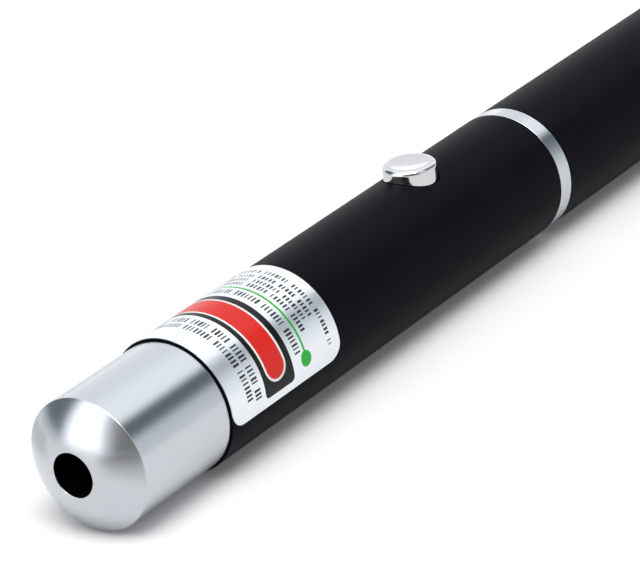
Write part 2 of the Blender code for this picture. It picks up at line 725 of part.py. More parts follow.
def switch_parts(parent):
    """Base with the plunger's socket, sheet cover and four leads, on the driver board."""
    centre_x = along_axis(BUTTON_BEHIND_NOSE)
    opening = PLUNGER_RADIUS + SLIDE_CLEARANCE
    base = box(
        "switch_base",
        (SWITCH_SIDE, SWITCH_SIDE, SWITCH_HEIGHT),
        (centre_x, 0, (SWITCH_TOP + SWITCH_BOTTOM) / 2),
        "part_black",
        parent,
    )
    socket_depth = SWITCH_TOP - SOCKET_BOTTOM
    socket = cylinder_mesh("switch_socket_cutter", opening, 2 * socket_depth, SMALL_STEPS)
    combine(base, cutter(socket, (centre_x, 0, SWITCH_TOP)), "DIFFERENCE")
    cover = box(
        "switch_cover",
        (SWITCH_SIDE, SWITCH_SIDE, SWITCH_COVER_THICKNESS),
        (centre_x, 0, SWITCH_COVER_TOP - SWITCH_COVER_THICKNESS / 2),
        "steel",
        parent,
    )
    hole = cylinder_mesh("cover_hole_cutter", opening, 2 * CUT_OVERRUN, SMALL_STEPS)
    combine(cover, cutter(hole, (centre_x, 0, SWITCH_COVER_TOP)), "DIFFERENCE")
    lead = box_mesh("switch_lead", (LEAD_WIDTH, LEAD_LENGTH, LEAD_THICKNESS)).data
    side_y = SWITCH_SIDE / 2 + SEAT_GAP + LEAD_LENGTH / 2
    lead_z = BOARD_TOP + SEAT_GAP + LEAD_THICKNESS / 2
    lead_x = SWITCH_SIDE / 2 - LEAD_FROM_EDGE
    places = [(x, y) for x in (-1, 1) for y in (-1, 1)]
    for number, (x, y) in enumerate(places, 1):
        obj = bpy.data.objects.new(f"switch_lead_{number}", lead.copy())
        link(obj, "steel", parent, (centre_x + x * lead_x, y * side_y, lead_z))


def driver_board(parent):
    """Circuit board, as wide as the bore takes, with its parts on both faces."""
    length = BOARD_END - BOARD_AT
    reach = max(abs(BOARD_TOP), abs(BOARD_BOTTOM))
    half_width = math.sqrt(FRONT_BORE**2 - reach**2) - BOARD_EDGE_CLEARANCE
    centre = (along_axis((BOARD_AT + BOARD_END) / 2), 0, (BOARD_TOP + BOARD_BOTTOM) / 2)
    size = (length, 2 * half_width, BOARD_THICKNESS)
    box("driver_board", size, centre, "board_green", parent)


def board_part(name, behind_nose, size, side, finish, parent):
    """A block soldered to the board's upper (side 1) or lower (side -1) face."""
    face = BOARD_TOP if side > 0 else BOARD_BOTTOM
    height = face + side * (SEAT_GAP + size[2] / 2)
    return box(name, size, (along_axis(behind_nose), 0, height), finish, parent)


def board_parts(parent):
    """Chip and trimmer on the board's upper face, resistors and capacitor on its lower one."""
    chip_at = CHIP_AT + CHIP_SIZE[0] / 2
    board_part("driver_chip", chip_at, CHIP_SIZE, 1, "part_black", parent)
    trimmer_at = TRIMMER_AT + TRIMMER_SIZE[0] / 2
    trimmer = board_part("trimmer", trimmer_at, TRIMMER_SIZE, 1, "part_blue", parent)
    slot_size = (2 * TRIMMER_SCREW_RADIUS, TRIMMER_SLOT_WIDTH, 2 * TRIMMER_SLOT_DEPTH)
    top = BOARD_TOP + SEAT_GAP + TRIMMER_SIZE[2]
    slot = cutter(box_mesh("trimmer_slot_cutter", slot_size), (along_axis(trimmer_at), 0, top))
    combine(trimmer, slot, "DIFFERENCE")
    board_part(
        "board_capacitor", BUTTON_BEHIND_NOSE, CAPACITOR_SIZE, -1, "part_yellow", parent
    )
    for number in range(RESISTOR_COUNT):
        at = chip_at + number * (RESISTOR_SIZE[0] + PART_SPACING)
        name = f"board_resistor_{number + 1}"
        board_part(name, at, RESISTOR_SIZE, -1, "part_black", parent)


def contacts(front, rear):
    """Round contact board with its spring, and the spring in the tail cap."""
    board_radius = FRONT_BORE - CONTACT_BOARD_CLEARANCE
    profile = [
        (0, 0),
        (board_radius, 0),
        (board_radius, CONTACT_BOARD_THICKNESS),
        (0, CONTACT_BOARD_THICKNESS),
    ]
    turned(
        "contact_board", CONTACT_BOARD_AT, profile, SMALL_STEPS, "board_green", front, closed=False
    )
    springs = (
        (
            "contact_spring",
            CONTACT_SPRING_AT,
            -CONTACT_SPRING_LENGTH,
            (CONTACT_SPRING_BASE, CELL_CAP_RADIUS - CONTACT_TIP_INSET),
            CONTACT_SPRING_TURNS,
            CONTACT_WIRE_RADIUS,
            front,
        ),
        (
            "tail_spring",
            TAIL_SPRING_AT + TAIL_SPRING_LENGTH,
            TAIL_SPRING_LENGTH,
            (COUPLER_BORE - TAIL_SPRING_MARGIN, TAIL_SPRING_TIP),
            TAIL_SPRING_TURNS,
            TAIL_WIRE_RADIUS,
            rear,
        ),
    )
    for name, behind, length, (base, tip), turns, wire_radius, parent in springs:
        points = cone_coil(along_axis(behind), length, base, tip, turns, wire_radius)
        gap = least_coil_gap(points, wire_radius)
        print(f"{name}: least gap between turns {gap / MM:.2f} mm")
        wire(name, points, wire_radius, "spring_steel", parent)


def cell(name, behind_nose, parent):
    """One AAA cell: can, insulating washer in its front recess, and positive cap."""
    can_length = CELL_LENGTH - CELL_CAP_HEIGHT
    recess_radius = CELL_RADIUS - CELL_LIP
    can = [
        (0, CELL_RECESS_DEPTH),
        (recess_radius, CELL_RECESS_DEPTH),
        (recess_radius, 0),
        (CELL_RADIUS - CELL_EDGE, 0),
        (CELL_RADIUS, CELL_EDGE),
        (CELL_RADIUS, can_length - CELL_EDGE),
        (CELL_RADIUS - CELL_EDGE, can_length),
        (0, can_length),
    ]
    can_at = behind_nose + CELL_CAP_HEIGHT
    turned(f"{name}_can", can_at, can, SMALL_STEPS, "cell_sleeve", parent, closed=False)
    washer = tube_profile(
        recess_radius - SEAT_GAP, CELL_CAP_RADIUS + SEAT_GAP, CELL_RECESS_DEPTH - SEAT_GAP
    )
    turned(f"{name}_washer", can_at, washer, SMALL_STEPS, "cell_washer", parent)
    cap_length = CELL_CAP_HEIGHT + CELL_RECESS_DEPTH - SEAT_GAP
    cap = [
        (0, 0),
        (CELL_CAP_RADIUS - CELL_EDGE, 0),
        (CELL_CAP_RADIUS, CELL_EDGE),
        (CELL_CAP_RADIUS, cap_length),
        (0, cap_length),
    ]
    turned(f"{name}_cap", behind_nose, cap, SMALL_STEPS, "steel", parent, closed=False)


def module_housing(parent):
    """Stepped brass body: lens bore in front, beam bore, and the diode's bore behind."""
    length = MODULE_END - MODULE_AT
    neck = MODULE_BODY_AT - MODULE_AT
    diode_bore_at = LENS_BORE_DEPTH + BEAM_BORE_LENGTH
    profile = [
        (MODULE_NECK_RADIUS - EDGE_CHAMFER, 0),
        (MODULE_NECK_RADIUS, EDGE_CHAMFER),
        (MODULE_NECK_RADIUS, neck),
        (MODULE_RADIUS, neck),
        (MODULE_RADIUS, length - EDGE_CHAMFER),
        (MODULE_RADIUS - EDGE_CHAMFER, length),
        (DIODE_BORE, length),
        (DIODE_BORE, diode_bore_at),
        (BEAM_BORE, diode_bore_at),
        (BEAM_BORE, LENS_BORE_DEPTH),
        (LENS_BORE, LENS_BORE_DEPTH),
        (LENS_BORE, 0),
    ]
    turned("module_housing", MODULE_AT, profile, SMALL_STEPS, "brass", parent)


def lens_group(parent):
    """Lens barrel in the housing's front bore, with the collimating lens and its ring."""
    barrel_radius = LENS_BORE - FIT_CLEARANCE
    pocket_radius = barrel_radius - LENS_BARREL_WALL
    lens_radius = pocket_radius - FIT_CLEARANCE
    barrel_at = MODULE_AT + LENS_BARREL_INSET
    barrel = [
        (barrel_radius, 0),
        (barrel_radius, LENS_BARREL_LENGTH),
        (pocket_radius - LENS_SHOULDER, LENS_BARREL_LENGTH),
        (pocket_radius - LENS_SHOULDER, LENS_POCKET_DEPTH),
        (pocket_radius, LENS_POCKET_DEPTH),
        (pocket_radius, 0),
    ]
    turned("lens_barrel", barrel_at, barrel, SMALL_STEPS, "brass", parent)
    rise = LENS_THICKNESS - LENS_EDGE_THICKNESS
    curve = (lens_radius**2 + rise**2) / (2 * rise)

    def front_of(radius):
        return curve - math.sqrt(curve**2 - radius**2)

    steps = [lens_radius * step / ROUND_STEPS for step in range(ROUND_STEPS + 1)]
    lens = [(radius, front_of(radius)) for radius in steps]
    lens += [(lens_radius, LENS_THICKNESS), (0, LENS_THICKNESS)]
    lens_at = barrel_at + LENS_POCKET_DEPTH - SEAT_GAP - LENS_THICKNESS
    turned("collimating_lens", lens_at, lens, SMALL_STEPS, "lens_glass", parent, closed=False)
    ring_inner = lens_radius - LENS_RING_WIDTH
    ring_end = lens_at + front_of(ring_inner) - SEAT_GAP
    ring = tube_profile(lens_radius, ring_inner, LENS_RING_THICKNESS)
    turned("lens_ring", ring_end - LENS_RING_THICKNESS, ring, SMALL_STEPS, "brass", parent)


def expander_lens(parent):
    """Small hollow-ground lens in the beam bore, just behind the lens bore's floor."""
    radius = BEAM_BORE - FIT_CLEARANCE
    curve = (radius**2 + EXPANDER_HOLLOW**2) / (2 * EXPANDER_HOLLOW)
    steps = [radius * step / ROUND_STEPS for step in range(ROUND_STEPS + 1)]
    front = [
        (place, math.sqrt(curve**2 - place**2) - curve + EXPANDER_HOLLOW) for place in steps
    ]
    profile = front + [(radius, EXPANDER_THICKNESS), (0, EXPANDER_THICKNESS)]
    behind = MODULE_AT + LENS_BORE_DEPTH + SEAT_GAP
    turned("expander_lens", behind, profile, SMALL_STEPS, "lens_glass", parent, closed=False)


def pump_group(parent):
    """Crystal in its holder, and the pump diode in its sleeve, in the housing's rear bore."""
    holder_at = MODULE_AT + LENS_BORE_DEPTH + BEAM_BORE_LENGTH + SEAT_GAP
    holder = tube_profile(SLEEVE_RADIUS, HOLDER_BORE, HOLDER_LENGTH)
    turned("crystal_holder", holder_at, holder, SMALL_STEPS, "brass", parent)
    box(
        "crystal_set",
        (CRYSTAL_LENGTH, CRYSTAL_SIDE, CRYSTAL_SIDE),
        (along_axis(holder_at + HOLDER_LENGTH / 2), 0, 0),
        "crystal",
        parent,
    )
    sleeve_at = holder_at + HOLDER_LENGTH + SEAT_GAP
    sleeve_length = DIODE_CAN_LENGTH + DIODE_FLANGE_THICKNESS + SLEEVE_SKIRT
    can_bore = DIODE_CAN_RADIUS + FIT_CLEARANCE
    sleeve = [
        (SLEEVE_RADIUS, 0),
        (SLEEVE_RADIUS, sleeve_length),
        (FLANGE_BORE, sleeve_length),
        (FLANGE_BORE, DIODE_CAN_LENGTH),
        (can_bore, DIODE_CAN_LENGTH),
        (can_bore, 0),
    ]
    turned("diode_sleeve", sleeve_at, sleeve, SMALL_STEPS, "brass", parent)
    diode = [
        (0, 0),
        (DIODE_CAN_RADIUS, 0),
        (DIODE_CAN_RADIUS, DIODE_CAN_LENGTH),
        (DIODE_FLANGE_RADIUS, DIODE_CAN_LENGTH),
        (DIODE_FLANGE_RADIUS, DIODE_CAN_LENGTH + DIODE_FLANGE_THICKNESS),
        (0, DIODE_CAN_LENGTH + DIODE_FLANGE_THICKNESS),
    ]
    diode_at = sleeve_at + SEAT_GAP
    turned("pump_diode", diode_at, diode, SMALL_STEPS, "steel", parent, closed=False)
    leads_at = diode_at + DIODE_CAN_LENGTH + DIODE_FLANGE_THICKNESS + SEAT_GAP
    diode_leads(leads_at, parent)


def diode_leads(leads_at, parent):
    """Three wires from the diode's back to the driver board: two above it, one below."""
    above = BOARD_TOP + SEAT_GAP + DIODE_LEAD_RADIUS
    below = BOARD_BOTTOM - SEAT_GAP - DIODE_LEAD_RADIUS
    routes = (
        (DIODE_LEAD_CIRCLE, 0, above),
        (-DIODE_LEAD_CIRCLE, 0, above),
        (0, -DIODE_LEAD_CIRCLE, below),
    )
    for number, (y, start_z, end_z) in enumerate(routes, 1):
        points = [
            (along_axis(leads_at), y, start_z),
            (along_axis(MODULE_END - DIODE_LEAD_BEND), y, start_z),
            (along_axis(MODULE_END), y, end_z),
            (along_axis(BOARD_AT + DIODE_LEAD_LAP), y, end_z),
        ]
        wire(f"diode_lead_{number}", points, DIODE_LEAD_RADIUS, "steel", parent)


def bake(obj):
    """Puts the object's modifiers into its mesh and shades its round faces smooth."""
    if obj.type != "MESH":
        return
    bpy.context.view_layer.update()
    graph = bpy.context.evaluated_depsgraph_get()
    mesh = bpy.data.meshes.new_from_object(obj.evaluated_get(graph))
    obj.modifiers.clear()
    obj.data = mesh
    mesh.shade_smooth()
    mesh.set_sharp_from_angle(angle=math.radians(32))


def build():
    clip_turn = clip_rest_turn()
    front = empty("front_body")
    button_x = along_axis(BUTTON_BEHIND_NOSE)
    button = empty("button_slide", (button_x, 0, 0), parent=front)
    cells = empty("cells_travel", parent=front)
    rear = empty("rear_barrel_turn", parent=cells)
    pivot = (
        CLIP_FROM_TAIL,
        -BARREL_RADIUS * math.sin(clip_turn),
        BARREL_RADIUS * math.cos(clip_turn),
    )
    clip = empty("clip_pivot", pivot, (clip_turn, 0, 0), rear)

    nose_cap(front)
    front_barrel(front)
    foil_label(front)
    middle_ring(front)
    threaded_coupler(front)
    module_housing(front)
    lens_group(front)
    expander_lens(front)
    pump_group(front)
    driver_board(front)
    board_parts(front)
    switch_parts(front)
    contacts(front, rear)
    button_cap(button)
    switch_plunger(button)
    for number in range(CELL_COUNT):
        cell(f"cell_{number + 1}", CELLS_AT + number * CELL_STEP, cells)
    rear_barrel(rear)
    tail_cap(rear, clip_turn)
    pocket_clip(clip)
    for obj in PARTS.objects:
        bake(obj)
    print(f"overall length {OVERALL_LENGTH / MM:.2f} mm")
    print(f"clip pivot {tuple(round(value / MM, 4) for value in pivot)} mm")
    print(f"clip turn {math.degrees(clip_turn):.3f} degrees")


build()
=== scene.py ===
"""Looks of a pen-type laser pointer: its finishes, the print on its foil label, camera and light.

Metres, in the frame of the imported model: +X is the way the beam leaves, +Z the button's side.
"""

import json
import math

import bmesh
import bpy
from mathutils import Matrix, Vector

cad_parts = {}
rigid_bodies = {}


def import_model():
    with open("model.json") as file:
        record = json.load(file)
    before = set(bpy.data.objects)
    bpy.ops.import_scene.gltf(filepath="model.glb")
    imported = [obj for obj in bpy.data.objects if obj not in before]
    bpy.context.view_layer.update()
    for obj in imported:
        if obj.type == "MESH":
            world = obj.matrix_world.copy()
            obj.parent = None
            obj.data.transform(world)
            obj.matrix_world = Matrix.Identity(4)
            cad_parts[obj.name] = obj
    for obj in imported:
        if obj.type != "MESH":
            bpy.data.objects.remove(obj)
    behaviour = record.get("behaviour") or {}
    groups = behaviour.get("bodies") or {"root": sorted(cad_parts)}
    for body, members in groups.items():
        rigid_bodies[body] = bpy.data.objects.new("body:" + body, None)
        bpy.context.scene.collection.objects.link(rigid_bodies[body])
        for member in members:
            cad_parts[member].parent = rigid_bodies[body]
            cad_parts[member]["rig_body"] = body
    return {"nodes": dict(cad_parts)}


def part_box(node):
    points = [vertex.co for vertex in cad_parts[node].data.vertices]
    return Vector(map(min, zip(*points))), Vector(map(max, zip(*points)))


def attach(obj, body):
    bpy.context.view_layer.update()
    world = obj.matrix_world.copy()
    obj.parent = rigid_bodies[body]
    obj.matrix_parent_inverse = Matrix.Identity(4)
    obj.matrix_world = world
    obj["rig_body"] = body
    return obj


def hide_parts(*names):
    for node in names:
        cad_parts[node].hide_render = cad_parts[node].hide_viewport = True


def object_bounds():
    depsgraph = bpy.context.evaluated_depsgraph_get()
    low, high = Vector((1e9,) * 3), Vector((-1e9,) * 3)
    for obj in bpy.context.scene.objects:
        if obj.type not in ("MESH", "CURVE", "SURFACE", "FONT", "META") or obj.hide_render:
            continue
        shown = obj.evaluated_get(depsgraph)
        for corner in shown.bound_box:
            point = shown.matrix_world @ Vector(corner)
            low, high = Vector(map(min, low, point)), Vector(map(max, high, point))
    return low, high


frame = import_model()
CAD_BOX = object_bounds()

MM = 0.001

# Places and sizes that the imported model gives
NOSE_LOW, NOSE_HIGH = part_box("nose_cap")
FRONT_LOW, FRONT_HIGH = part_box("front_barrel")
RING_LOW, RING_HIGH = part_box("middle_ring")
REAR_LOW, REAR_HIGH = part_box("rear_barrel")
TAIL_LOW, TAIL_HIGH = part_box("tail_cap")
BUTTON_LOW, BUTTON_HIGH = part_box("button_cap")
COUPLER_LOW, COUPLER_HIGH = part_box("threaded_coupler")
BARREL_RADIUS = FRONT_HIGH.z
FLOOR_HEIGHT = CAD_BOX[0].z

# Front barrel's front edge, drawn a little further forward than the solid's, and the seam
# between it and the nose cap
BARREL_REACH = 0.16 * MM
FRONT_END = FRONT_HIGH.x + BARREL_REACH
NOSE_SEAM = 0.14 * MM

# Nose cap
NOSE_STEP = 0.22 * MM
NOSE_RADIUS = BARREL_RADIUS - NOSE_STEP
DOME_RADIUS = 10.0 * MM
APERTURE_RADIUS = 2.28 * MM
NOSE_FRONT_WALL = 2.6 * MM
NOSE_SPIGOT_RADIUS = 6.0 * MM
NOSE_BORE = 5.0 * MM
RIM_FILLET = 0.14 * MM
HOLE_EDGE = 0.08 * MM
APERTURE_FILLET = 0.06 * MM
DOME_STEPS = 28
# Least +X part of the normal of a face that looks ahead
AHEAD_NORMAL = 0.5

# Barrels, ring and coupler
FRONT_BORE = 6.1 * MM
BARREL_FILLET = 0.08 * MM
RING_FILLET = 0.06 * MM
REAR_BORE = 5.8 * MM
THREAD_BORE = 6.45 * MM
THREAD_BORE_DEPTH = 7.35 * MM
TAIL_BORE = 6.2 * MM
TAIL_BORE_DEPTH = 4.0 * MM
COUPLER_RADIUS = 6.0 * MM
COUPLER_BORE = 5.5 * MM
THREAD_FROM_REAR = 0.5 * MM
THREAD_PITCH = 1.25 * MM
THREAD_TURNS = 5
THREAD_DEPTH = 0.4 * MM
THREAD_ROWS = 12
THREAD_FADE_SHARE = 0.5
THREAD_STEPS = 96

# Tail cap
TAIL_SPIGOT_RADIUS = 6.1 * MM
TAIL_WALL = 2.4 * MM
TAIL_FILLET = 0.8 * MM

# Button
BUTTON_RADIUS = 2.83 * MM
BUTTON_HOLE_RADIUS = 2.95 * MM
BUTTON_EDGE = 0.55 * MM
BUTTON_CORNER_DROP = BUTTON_EDGE / 8
BUTTON_DISH = 0.15 * MM
DISH_RADIUS = 2.2 * MM
DISH_STEPS = 16
FLANGE_THICKNESS = 0.5 * MM

# Pocket clip
CLIP_THICKNESS = 0.6 * MM
CLIP_STANDOFF = 2.0 * MM
CLIP_BEND = 1.2 * MM
CLIP_REACH = 38.0 * MM
CLIP_TIP_RADIUS = 2.4 * MM
CLIP_TIP_GAP = 0.3 * MM
CLIP_WIDTH = 4.2 * MM
CLIP_TIP_WIDTH = 3.2 * MM
CLIP_TAB = 1.1 * MM
CLIP_SLOT_CLEARANCE = 0.25 * MM
CLIP_FROM_TAIL = 3.9 * MM
CLIP_TURN = math.radians(123.085)
CLIP_FALL = math.radians(28)
CLIP_EDGE = 0.12 * MM
CLIP_EDGE_SEGMENTS = 3
CLIP_EDGE_ANGLE = math.radians(50)
CLIP_BEND_STEPS = 12
CLIP_CURL_STEPS = 16

# Label sheet
LABEL_GAP = 0.02 * MM
LABEL_THICKNESS = 0.07 * MM
LABEL_WRAP = 27.0 * MM
LABEL_CORNER = 1.7 * MM
LABEL_FROM_EDGE = 0.02 * MM
LABEL_LENGTH = 17.62 * MM
LABEL_EDGE_ANGLE = math.radians(101.8)
LABEL_COLUMNS = 8
LABEL_ROWS = 120
LABEL_CORNER_ROWS = 12

# Facets
TURN_STEPS = 160
SMALL_TURN_STEPS = 96
FILLET_STEPS = 4
CUT_EDGE_SEGMENTS = 2
CUT_EDGE_ANGLE = math.radians(40)
SMOOTH_ANGLE = math.radians(32)
RIGHT_ANGLE = math.pi / 2
WELD_DISTANCE = 0.001 * MM
NORMAL_WEIGHT = 80

# Camera, found by fitting the pen's outline in the photograph
CAMERA_PLACE = Vector((0.3831098, 0.2078350, 0.1450902))
CAMERA_TARGET = Vector((0.10428, -0.01241, FLOOR_HEIGHT))
CAMERA_ROLL = math.radians(-7.97)
CAMERA_LENS = 206.7
CAMERA_SENSOR = 36.0
CAMERA_CLIP_START = 0.01

# Floor and studio
FLOOR_SIDE = 8.0
FLOOR_ALBEDO = 0.9
FLOOR_WHITE = 0.99
FLOOR_LIFT = 0.08
KEY_SIDE = 0.64
KEY_DISTANCE = 1.0
KEY_LEAN = math.radians(25)
KEY_COMPASS = math.radians(38)
KEY_WATTS = 6.9

# Shading
NOISE_DETAIL = 3.0
# Splits 0 from 1 and more where a whole number is tested
SWITCH_POINT = 0.5


# Shader helpers


def new_material(name, constants=()):
    """A material with constants on its principled shader, as (material, tree, shader)."""
    material = bpy.data.materials.new(name)
    material.use_nodes = True
    tree = material.node_tree
    shader = tree.nodes["Principled BSDF"]
    for socket, value in dict(constants).items():
        shader.inputs[socket].default_value = value
    return material, tree, shader


def add_node(tree, kind, inputs=(), **settings):
    """A node with its settings, and with its inputs linked to sockets or set to values."""
    made = tree.nodes.new(kind)
    for key, value in settings.items():
        setattr(made, key, value)
    for key, value in dict(inputs).items():
        if isinstance(value, bpy.types.NodeSocket):
            tree.links.new(value, made.inputs[key])
        else:
            made.inputs[key].default_value = value
    return made


def calculate(tree, operation, first, second=0.0):
    found = add_node(tree, "ShaderNodeMath", {0: first, 1: second}, operation=operation)
    return found.outputs[0]


def blend_colour(tree, share, first, second):
    mixed = add_node(
        tree,
        "ShaderNodeMix",
        {"Factor": share, "A": first, "B": second},
        data_type="RGBA",
    )
    return mixed.outputs["Result"]


def remap(tree, value, low, high, to_low, to_high, interpolation="LINEAR"):
    mapped = add_node(
        tree,
        "ShaderNodeMapRange",
        {"Value": value, "From Min": low, "From Max": high, "To Min": to_low, "To Max": to_high},
        interpolation_type=interpolation,
    )
    return mapped.outputs["Result"]


def noise(tree, scale, stretch=(1, 1, 1)):
    """Noise in the object's own metres, drawn out along the axes whose stretch is small."""
    coordinates = add_node(tree, "ShaderNodeTexCoord")
    mapped = add_node(
        tree, "ShaderNodeMapping", {"Vector": coordinates.outputs["Object"], "Scale": stretch}
    )
    made = add_node(
        tree,
        "ShaderNodeTexNoise",
        {"Vector": mapped.outputs["Vector"], "Scale": scale, "Detail": NOISE_DETAIL},
    )
    return made.outputs["Fac"]


def seen_directly(tree):
    """1 for what the camera sees plainly, in a mirror or through glass, else 0."""
    path = add_node(tree, "ShaderNodeLightPath")
    seen = calculate(
        tree, "MAXIMUM", path.outputs["Is Camera Ray"], path.outputs["Is Glossy Ray"]
    )
    seen = calculate(tree, "MAXIMUM", seen, path.outputs["Is Transmission Ray"])
    unscattered = calculate(tree, "LESS_THAN", path.outputs["Diffuse Depth"], SWITCH_POINT)
    return calculate(tree, "MULTIPLY", seen, unscattered)


def shade_pair(colour, spread):
    """A darker and a lighter form of a colour, as RGBA."""
    return (
        (*(value * (1 - spread) for value in colour), 1),
        (*(min(value * (1 + spread), 1) for value in colour), 1),
    )


def vary_roughness(tree, shader, grain, smoothest, roughest):
    rough = remap(tree, grain, 0, 1, smoothest, roughest)
    tree.links.new(rough, shader.inputs["Roughness"])


def vary(tree, shader, grain, colour, spread, roughness, roughness_spread):
    """Lets one grain move the colour and the roughness a little."""
    darker, lighter = shade_pair(colour, spread)
    tree.links.new(blend_colour(tree, grain, darker, lighter), shader.inputs["Base Color"])
    smoothest, roughest = roughness - roughness_spread, roughness + roughness_spread
    vary_roughness(tree, shader, grain, smoothest, roughest)


def add_bump(tree, shader, height, distance, strength):
    bump = add_node(
        tree, "ShaderNodeBump", {"Height": height, "Distance": distance, "Strength": strength}
    )
    tree.links.new(bump.outputs["Normal"], shader.inputs["Normal"])


# Materials


def satin_plating():
    """Satin plating over a turned part: soft reflections, with faint lines round the axis."""
    material, tree, shader = new_material("satin_plating", {"Metallic": 1})
    lines = noise(tree, scale=5200, stretch=(1, 0.008, 0.008))
    colour = (0.55, 0.575, 0.605)
    vary(tree, shader, lines, colour, spread=0.015, roughness=0.22, roughness_spread=0.02)
    add_bump(tree, shader, lines, distance=0.001 * MM, strength=0.06)
    return material


def bright_plating():
    """Bright plating with faint wiping marks."""
    material, tree, shader = new_material("bright_plating", {"Metallic": 1})
    marks = noise(tree, scale=900, stretch=(1, 0.25, 1))
    colour = (0.6, 0.605, 0.61)
    vary(tree, shader, marks, colour, spread=0.01, roughness=0.08, roughness_spread=0.03)
    return material


def satin_paint():
    """Soft satin paint with a fine spray grain."""
    material, tree, shader = new_material("satin_paint", {"Specular IOR Level": 0.024})
    colour = (0.005, 0.0046, 0.0074)
    cloud = noise(tree, scale=160)
    vary(tree, shader, cloud, colour, spread=0.15, roughness=0.44, roughness_spread=0.04)
    add_bump(tree, shader, noise(tree, scale=5200), distance=0.01 * MM, strength=0.2)
    return material


def bore_painted_shade():
    """Painted shade: dull near-black inside the nose, which keeps the bore behind the aperture
    dark.
    """
    material, tree, shader = new_material("bore_painted_shade", {"Specular IOR Level": 0.02})
    colour = (0.0015, 0.0015, 0.0015)
    grain = noise(tree, scale=1200)
    vary(tree, shader, grain, colour, spread=0.3, roughness=0.85, roughness_spread=0.1)
    return material


def turned_brass():
    """Yellow metal with the lathe's lines round it."""
    material, tree, shader = new_material("turned_brass", {"Metallic": 1})
    lines = noise(tree, scale=3000, stretch=(1, 0.03, 0.03))
    colour = (0.78, 0.58, 0.27)
    vary(tree, shader, lines, colour, spread=0.08, roughness=0.3, roughness_spread=0.08)
    add_bump(tree, shader, lines, distance=0.004 * MM, strength=0.4)
    return material


def brushed_steel():
    """Steel strip with brushing along the pen."""
    material, tree, shader = new_material("brushed_steel", {"Metallic": 1})
    lines = noise(tree, scale=2600, stretch=(0.03, 1, 1))
    colour = (0.66, 0.67, 0.69)
    vary(tree, shader, lines, colour, spread=0.05, roughness=0.24, roughness_spread=0.07)
    add_bump(tree, shader, lines, distance=0.003 * MM, strength=0.35)
    return material


def spring_wire():
    material, tree, shader = new_material("spring_wire", {"Metallic": 1})
    colour = (0.7, 0.71, 0.72)
    grain = noise(tree, scale=900)
    vary(tree, shader, grain, colour, spread=0.04, roughness=0.22, roughness_spread=0.05)
    return material


def clear_glass():
    constants = {"Transmission Weight": 1, "IOR": 1.52}
    material, tree, shader = new_material("clear_glass", constants)
    colour = (0.9, 0.97, 0.95)
    grain = noise(tree, scale=400)
    vary(tree, shader, grain, colour, spread=0.02, roughness=0.03, roughness_spread=0.02)
    return material


def laser_crystal():
    constants = {"Transmission Weight": 0.7, "IOR": 1.8}
    material, tree, shader = new_material("laser_crystal", constants)
    colour = (0.66, 0.52, 0.82)
    grain = noise(tree, scale=900)
    vary(tree, shader, grain, colour, spread=0.06, roughness=0.1, roughness_spread=0.04)
    return material


def circuit_board():
    """Solder mask with copper tracks showing through as paler lines."""
    material, tree, shader = new_material("circuit_board")
    coordinates = add_node(tree, "ShaderNodeTexCoord")
    tracks = add_node(
        tree,
        "ShaderNodeTexBrick",
        {
            "Vector": coordinates.outputs["Object"],
            "Color1": (0.012, 0.16, 0.06, 1),
            "Color2": (0.016, 0.2, 0.075, 1),
            "Mortar": (0.05, 0.34, 0.14, 1),
            "Scale": 420,
            "Mortar Size": 0.03,
            "Bias": 0.1,
        },
    )
    tree.links.new(tracks.outputs["Color"], shader.inputs["Base Color"])
    vary_roughness(tree, shader, noise(tree, scale=1500), smoothest=0.3, roughest=0.42)
    return material


def moulded(name, colour, roughness):
    """Plain moulded resin with a fine matt grain."""
    material, tree, shader = new_material(name)
    grain = noise(tree, scale=3500)
    vary(tree, shader, grain, colour, spread=0.12, roughness=roughness, roughness_spread=0.08)
    add_bump(tree, shader, grain, distance=0.01 * MM, strength=0.4)
    return material


# Cell sleeve
LACQUER_BLUE = (0.03, 0.09, 0.16)
CELL_BAND_METAL = (0.72, 0.66, 0.5, 1)
CELL_BAND_START_SHARE = 0.82


def cell_lacquer():
    """Cell sleeve: dark lacquer, with a pale metal band round its positive end."""
    material, tree, shader = new_material("cell_lacquer", {"Metallic": 0.6})
    coordinates = add_node(tree, "ShaderNodeTexCoord")
    split = add_node(tree, "ShaderNodeSeparateXYZ", {"Vector": coordinates.outputs["Generated"]})
    at_end = calculate(tree, "GREATER_THAN", split.outputs["X"], CELL_BAND_START_SHARE)
    grain = noise(tree, scale=700)
    darker, lighter = shade_pair(LACQUER_BLUE, spread=0.1)
    lacquer = blend_colour(tree, grain, darker, lighter)
    colour = blend_colour(tree, at_end, lacquer, CELL_BAND_METAL)
    tree.links.new(colour, shader.inputs["Base Color"])
    vary_roughness(tree, shader, grain, smoothest=0.22, roughest=0.34)
    return material


def rounded_box_group():
    """Mask of a rounded rectangle on the label: 1 inside it, 0 outside."""
    group = bpy.data.node_groups.new("rounded_box", "ShaderNodeTree")
    for name in ("Place", "Centre", "Half"):
        group.interface.new_socket(name, in_out="INPUT", socket_type="NodeSocketVector")
    group.interface.new_socket("Corner", in_out="INPUT", socket_type="NodeSocketFloat")
    group.interface.new_socket("Mask", in_out="OUTPUT", socket_type="NodeSocketFloat")
    given = group.nodes.new("NodeGroupInput").outputs
    result = group.nodes.new("NodeGroupOutput")

    def vector(operation, first, second=(0, 0, 0)):
        made = add_node(
            group, "ShaderNodeVectorMath", {0: first, 1: second}, operation=operation
        )
        return made.outputs["Value" if operation == "LENGTH" else "Vector"]

    offset = vector("ABSOLUTE", vector("SUBTRACT", given["Place"], given["Centre"]))
    past = vector("ADD", vector("SUBTRACT", offset, given["Half"]), given["Corner"])
    distance = vector("LENGTH", vector("MAXIMUM", past))
    mask = calculate(group, "LESS_THAN", distance, given["Corner"])
    group.links.new(mask, result.inputs["Mask"])
    return group


